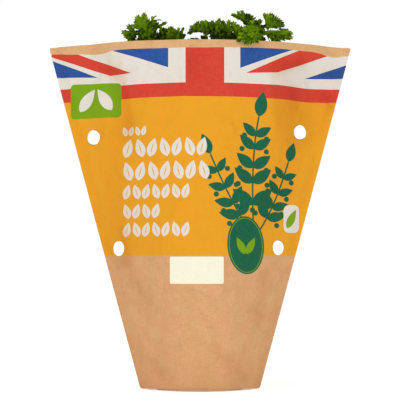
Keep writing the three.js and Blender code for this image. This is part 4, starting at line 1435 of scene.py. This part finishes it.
def leafMaterial(name, paintedShadeGreen, green, highlightGreen):
    # Painted shade and light: the shade green shows in the folds and on the lobes painted as shaded, the
    # highlight
    #     # green on the lobes painted as lit, towards the teeth.
    material, tree, place = startMaterial(name)
    tone = addNode(tree, "Attribute", {"attribute_name": "tone"})
    # Painted light and shade: the tone attribute carries each lobe's painted light, which picks the green
    outward, rib, paintedLight = addNode(tree, "SeparateColor", {}, {"Color": tone}).outputs
    mottle = addNode(tree, "TexNoise", {
        "Scale": perMetre(leaf["mottle"]), "Detail": 4, "Roughness": 0.6}, {"Vector": place})
    patch = addNode(tree, "MapRange", {
        "From Min": 0.3, "From Max": 0.7, "To Min": -0.3, "To Max": 0.3}, {"Value": mottle})
    lit = addNode(tree, "Math", {"operation": "ADD"}, {0: paintedLight, 1: patch})
    bodyShare = addNode(tree, "MapRange", {"From Min": 0.05, "From Max": 0.6}, {"Value": lit})
    litShare = addNode(tree, "MapRange", {"From Min": 0.2, "From Max": 0.95}, {"Value": lit})
    reach = addNode(tree, "MapRange", {"From Min": 0.25, "From Max": 1, "To Min": 0.1}, {"Value": outward})
    highlightShare = addNode(tree, "Math", {"operation": "MULTIPLY", "use_clamp": True}, {0: litShare, 1: reach})
    ribShare = addNode(tree, "MapRange", {"From Min": 0.5, "From Max": 1, "To Max": 0.4}, {"Value": rib})
    colour = addNode(tree, "Mix", {"data_type": "RGBA", colourA: toLinear(paintedShadeGreen), colourB: toLinear(green)}, {
        0: bodyShare})
    for share, over in ((highlightShare, highlightGreen), (ribShare, leaf["rib"])):
        colour = addNode(tree, "Mix", {"data_type": "RGBA", colourB: toLinear(over)}, {
            0: share, colourA: colour})
    bump = addNode(tree, "Bump", {
        "Strength": 0.4, "Distance": leaf["skinHeight"] * 0.001}, {"Height": mottle})
    skin = addNode(tree, "BsdfPrincipled", {
        "Roughness": leaf["roughness"], "IOR": 1.42, "Specular IOR Level": 0.05}, {
        "Base Color": colour, "Normal": bump})
    through = addNode(tree, "BsdfTranslucent", {}, {"Color": colour})
    both = addNode(tree, "MixShader", {0: leaf["through"]}, {1: skin, 2: through})
    addNode(tree, "OutputMaterial", {}, {"Surface": both})
    return material


def stemMaterial(name, colours):  # smooth and juicy, with fine ribs along it
    material, tree, place = startMaterial(name)
    across, along = (perMetre(size) for size in stem["ribs"])
    stretched = addNode(tree, "Mapping", {"Scale": (across, across, along)}, {"Vector": place})
    ribs = addNode(tree, "TexNoise", {"Scale": 1, "Detail": 2}, {"Vector": stretched})
    tone = addNode(tree, "Mix", {
        "data_type": "RGBA", colourA: toLinear(colours[0]), colourB: toLinear(colours[1])}, {0: ribs})
    bump = addNode(tree, "Bump", {"Strength": 0.6, "Distance": stem["ribHeight"] * 0.001}, {"Height": ribs})
    skin = addNode(tree, "BsdfPrincipled", {"Roughness": stem["roughness"], "IOR": 1.4}, {
        "Base Color": tone, "Normal": bump})
    addNode(tree, "OutputMaterial", {}, {"Surface": skin})
    return material


frondMaterials = {
    "upper": leafMaterial("waxyParsleyLeafUpper", leaf["paintedShadeGreen"], leaf["green"], leaf["highlightGreen"]),
    "under": leafMaterial("matteParsleyLeafUnder", leaf["green"], leaf["under"], leaf["highlightGreen"]),
    "stem": stemMaterial("freshRibbedParsleyStem", stem["colours"]),
    "stalk": stemMaterial("tenderParsleyStalk", stem["stalkColours"]),
}
frondSlots = list(frondMaterials)


def tube(points, radii, sides):
    # A round tube with closed ends along the points
    start = unit(minus(points[1], points[0]))
    across = (1, 0, 0) if abs(start[0]) < 0.9 else (0, 1, 0)
    rings, faces = [], []
    for k, point in enumerate(points):
        run = unit(minus(points[min(k + 1, len(points) - 1)], points[max(k - 1, 0)]))
        across = squareTo(across, run)
        other = cross(run, across)
        rings += [plus(plus(point, across, x), other, y) for x, y in around(radii[k], sides)]
    for k in range(len(points) - 1):
        faces += ringWall(k * sides, (k + 1) * sides, sides)
    faces.append(list(range(sides))[::-1])
    faces.append([(len(points) - 1) * sides + i for i in range(sides)])
    return rings, faces


def heldInside(point, gap):
    # Brings a point that would reach through the paper back to its inner face.
    x, y, z = point
    nearWall = 12
    if z > sleeve["height"] + 1 or abs(y) < panelDepth(x, min(z, sleeve["height"])) - nearWall:
        return point
    side = -1 if y < 0 else 1
    room = paperDepth(x, min(z, sleeve["height"]), side) - sleeve["sheet"] - gap
    return (x, side * min(abs(y), max(room, 0)), z)


def leafLobe(shell, foot, along, normal, reach, halfWidth, paintedLight, draw, isInside):
    # One lobe: a blade that widens from its foot to a blunt end, with teeth that point forward all round
    side = cross(normal, along)
    teeth = max(4, round(blade["edgeLength"] * (reach + halfWidth) / blade["toothWidth"]))
    depth = min(blade["toothDepth"], blade["deepestShare"] * halfWidth)
    columns = teeth * blade["stepsPerTooth"]
    phase, waves = 2 * math.pi * draw(), 3 + round(2 * draw())
    lean, fold = blade["lean"] * (draw() - 0.5), blade["fold"] * (draw() - 0.35)
    frillHeight = min(blade["insideFrill" if isInside else "frill"], blade["frillShare"] * halfWidth)
    toothScales = [0.6 + 0.8 * draw() for _ in range(teeth)]

    def blunt(v):
        return math.copysign(abs(v) ** blade["bluntness"], v)

    def bladePoint(share, c):
        turn = 2 * math.pi * c / columns - math.pi  # 0 at the tip, a half turn at the foot
        frontness = 0.5 + 0.5 * math.cos(turn)
        number, step = divmod(c, blade["stepsPerTooth"])
        inTooth = step / blade["stepsPerTooth"]
        inTooth = inTooth if turn < 0 else 1 - inTooth
        peak = min(inTooth / blade["toothPeak"], (1 - inTooth) / (1 - blade["toothPeak"]))
        notch = depth * toothScales[number] * (1 - peak) * share ** 3 * smooth(clamp01(frontness * 2.2))
        forth = 0.5 * reach * blunt(math.cos(turn))
        wide = halfWidth * blunt(math.sin(turn)) * (blade["footShare"] + blade["tipShare"] * frontness)
        size = math.hypot(forth, wide)
        inward = share * (size - notch) / size
        up, out = 0.5 * reach + forth * inward, wide * inward
        crest = share * math.sin(waves * turn + phase) * (0.25 + 0.75 * frontness)
        far = up / reach
        bend = reach * far * (lean - blade["arch"] * far)
        lift = frillHeight * share * crest + bend - fold * abs(out) * far
        at = plus(plus(plus(foot, along, up), side, out), normal, lift)
        rib = max(0.0, 1 - abs(out) / blade["ribWidth"]) * (1 - 0.7 * far)
        # The tone keeps the share towards the tip, the rib, and the painted light, with the frill's crests
        # painted lighter
        return at, (share * frontness, rib, paintedLight + blade["paintedCrestLight"] * crest, 1)

    made = [bladePoint(0.0, 0)] + [bladePoint(share, c) for share in blade["rings"] for c in range(columns)]
    points, tones = zip(*made)
    faces = [[0, 1 + (c + 1) % columns, 1 + c] for c in range(columns)]
    for low in range(1, 1 + (len(blade["rings"]) - 1) * columns, columns):
        for a, b, c, d in ringWall(low, low + columns, columns):
            faces += [[a, b, c], [a, c, d]]
    under = [plus(point, normal, -blade["thickness"]) for point in points]
    if isInside:
        under = [heldInside(point, blade["wallGap"]) for point in under]
        points = [heldInside(point, blade["wallGap"] + blade["thickness"]) for point in points]
    upperSlot, underSlot = frondSlots.index("upper"), frondSlots.index("under")
    shell.addSheet(points, under, faces, [upperSlot] * len(faces), underSlot, upperSlot, list(tones))


def addStalk(shell, start, end, thick, thin, sag):
    steps = 5
    middle = plus(plus(start, minus(end, start), 0.5), (0, 0, -1), sag * length(minus(end, start)))
    radii = [stem["stalkRadius"] * mix(thick, thin, i / steps) for i in range(steps + 1)]
    shell.add(*tube(bowed(start, middle, end, steps), radii, 6), frondSlots.index("stalk"))


def drawnLeaf(shell, fan, lobes):
    # A leaflet in plain sight, lobe by lobe, each facing the front with its own small turn. Behind the
    # rim a second fold of the lobe stands across it, so that the leaflet is as curly from the side.
    draw, curl = (drawsFrom(drawn[k][0] + drawn[k][1] * fan["seed"]) for k in ("seed", "curlSeed"))
    hubY = fan["hub"][1]
    feet = [fromPhoto(across, down, hubY) for across, down, *_ in lobes]
    centre = tuple(sum(v) / len(feet) for v in zip(*feet))
    addStalk(shell, fan["base"], centre, 1, 0.4, stem["stalkSag"])
    for foot, (_, _, tipAcross, tipDown, width, forward, paintedLight) in zip(feet, lobes):
        if length(minus(foot, centre)) > 1:
            addStalk(shell, centre, foot, 0.4, 0.3, 0)
        halfWidth = drawn["narrower"] * width + drawn["softEdge"] * min(1, width / drawn["softFrom"])
        reach = plus(minus(fromPhoto(tipAcross, tipDown, hubY), foot), (0, -1, 0), forward)
        along = unit(reach)
        turn = math.radians(drawn["turn"] * (draw() - 0.5))
        normal = squareTo((math.sin(turn), -math.cos(turn), drawn["facingUp"]), along)
        leafLobe(shell, foot, along, normal, length(reach) + drawn["longer"], drawn["shownWidth"] * halfWidth,
                 paintedLight, draw, False)
        if hubY > drawn["curlFrom"]:
            roll = math.radians(mix(*drawn["curlTurn"], curl())) * (1 if curl() < 0.5 else -1)
            leaning = unit(plus(along, normal, -mix(*drawn["curlTilt"], curl())))
            standing = squareTo(turned(normal, cross(normal, along), roll), leaning)
            behind = plus(foot, normal, -drawn["curlBehind"] * halfWidth)
            leafLobe(shell, behind, leaning, standing, drawn["curlLength"] * length(reach),
                     drawn["curlWidth"] * halfWidth, paintedLight, curl, False)


def grownLeaf(shell, fan):
    # A leaflet inside the bunch: lobes spread evenly round the end of its stalk
    def drawIn(key):
        return grown[key][0] + grown[key][1] * draw()

    draw = drawsFrom(drawn["seed"][0] + drawn["seed"][1] * fan["seed"])
    back, radius = grown["footBack"], fan["radius"]
    side = cross(fan["normal"], fan["direction"])
    foot = plus(fan["hub"], fan["direction"], -back * radius)
    stalkEnd = plus(foot, fan["direction"], grown["stalkInto"] * radius)
    addStalk(shell, fan["base"], stalkEnd, 1, 0.6, stem["stalkSag"])
    # How lit this leaflet is painted; low values paint it in shade
    paintedLight = drawIn("paintedLight")
    for lobeAngle, lobeReach in grown["lobeAngles"]:
        angle = math.radians(lobeAngle + grown["angleSpread"] * (draw() - 0.5))
        along = turned(fan["direction"], side, angle)
        reach = back * math.cos(angle) + math.sqrt(1 - (back * math.sin(angle)) ** 2)
        reach *= radius * lobeReach * drawIn("reach")
        halfWidth = reach * grown["lobeWidth"] * drawIn("width")
        lobePaintedLight = paintedLight + grown["lobePaintedLight"] * (draw() - 0.5)
        leafLobe(shell, foot, along, fan["normal"], reach, halfWidth, lobePaintedLight, draw, True)


def tipLeaf(shell, frond, number):
    # The young leaf at the end of a stem that has no grown leaflet there
    draw = drawsFrom(grown["tipSeed"][0] + grown["tipSeed"][1] * number)
    tip = stemPoint(frond, frond["top"] - 1.5)
    start = 2 * math.pi * draw()
    for k in range(grown["tipLobes"]):
        angle = start + 2 * math.pi * k / grown["tipLobes"]
        out = (math.cos(angle), math.sin(angle), 0)
        along = unit(plus((0, 0, 1), out, grown["tipOutward"]))
        reach = grown["tipLength"][0] + grown["tipLength"][1] * draw()
        # How lit this lobe is painted; low values paint it in shade
        paintedLight = grown["tipPaintedLight"][0] + grown["tipPaintedLight"][1] * draw()
        leafLobe(shell, tip, along, squareTo(out, along), reach, grown["tipHalfWidth"], paintedLight, draw, True)


def makeFrondPiece(frond, number):
    shell = Shell()
    low, last = plant["soilTop"] - plant["stemSunk"], stem["rings"] - 1
    line = [stemPoint(frond, mix(low, frond["top"], i / last)) for i in range(last + 1)]
    radii = [stem["radius"] * mix(1.0, stem["tipShare"], i / last) for i in range(last + 1)]
    shell.add(*tube(line, radii, stem["sides"]), frondSlots.index("stem"))
    for index, fan in enumerate(frond["fans"]):
        if fan["isShown"] and (number - 1, index) in tracedLobes:
            drawnLeaf(shell, fan, tracedLobes[number - 1, index])
        else:
            grownLeaf(shell, fan)
    if max((fan["base"][2] for fan in frond["fans"]), default=0) < frond["top"] - 4:
        tipLeaf(shell, frond, number)
    piece = shell.toPiece(f"parsleyFrond{number:02d}", frondMaterials.values(), leaf["sharpFrom"])
    settle(piece, f"frond_{number:02d}")


for index, frond in enumerate(fronds):
    makeFrondPiece(frond, index + 1)
print("foliage grown")


# Studio: a pale floor, an even white surround, a large soft light from the left and a weaker one from
# the right
studio = {
    "floorHalf": 3000,
    "floorDrop": 0.2,
    "floorColours": ("#F2F2F0", "#F6F6F4"),
    "floorGrain": 60,
    "floorRoughness": 0.9,
    "floorGlow": 0.42,
    "surround": 1.02,  # as the camera sees it
    "ambient": 0.68,  # as the part is lit by it
    "lightAim": (0, 0, 140),
    "softboxes": [  # name, place, size and watts
        ("keySoftbox", (-1100, -1500, 800), 1100, 12.6),
        ("fillSoftbox", (1300, -1400, 500), 1100, 10.2),
    ],
}


def makeFloor():
    material, tree, place = startMaterial("paleStudioFloor")
    grain = addNode(tree, "TexNoise", {
        "Scale": perMetre(studio["floorGrain"]), "Detail": 3}, {"Vector": place})
    pale, paler = (toLinear(colour) for colour in studio["floorColours"])
    tone = addNode(tree, "Mix", {"data_type": "RGBA", colourA: pale, colourB: paler}, {0: grain})
    skin = addNode(tree, "BsdfPrincipled", {
        "Roughness": studio["floorRoughness"], "Emission Color": (1, 1, 1, 1),
        "Emission Strength": studio["floorGlow"]}, {"Base Color": tone})
    addNode(tree, "OutputMaterial", {}, {"Surface": skin})
    half, drop = studio["floorHalf"], studio["floorDrop"]
    mesh = bpy.data.meshes.new("studioFloor")
    corners = [(-half, -half, -drop), (half, -half, -drop), (half, half, -drop), (-half, half, -drop)]
    mesh.from_pydata([inMetres(c) for c in corners], [], [[0, 1, 2, 3]])
    mesh.materials.append(material)
    addObject("studioFloor", mesh)


def makeLight():
    world = bpy.data.worlds.new("whiteSurround")
    world.use_nodes = True
    tree = world.node_tree
    tree.nodes.clear()
    seen = addNode(tree, "LightPath").outputs["Is Camera Ray"]
    strength = addNode(tree, "MapRange", {
        "To Min": studio["ambient"], "To Max": studio["surround"]}, {"Value": seen})
    surround = addNode(tree, "Background", {"Color": (1, 1, 1, 1)}, {"Strength": strength})
    addNode(tree, "OutputWorld", {}, {"Surface": surround})
    bpy.context.scene.world = world
    for name, place, size, watts in studio["softboxes"]:
        lamp = bpy.data.lights.new(name, "AREA")
        lamp.size = size * 0.001
        lamp.energy = watts
        aimAt(addObject(name, lamp), place, studio["lightAim"])


makeFloor()
makeLight()
print("studio lit")
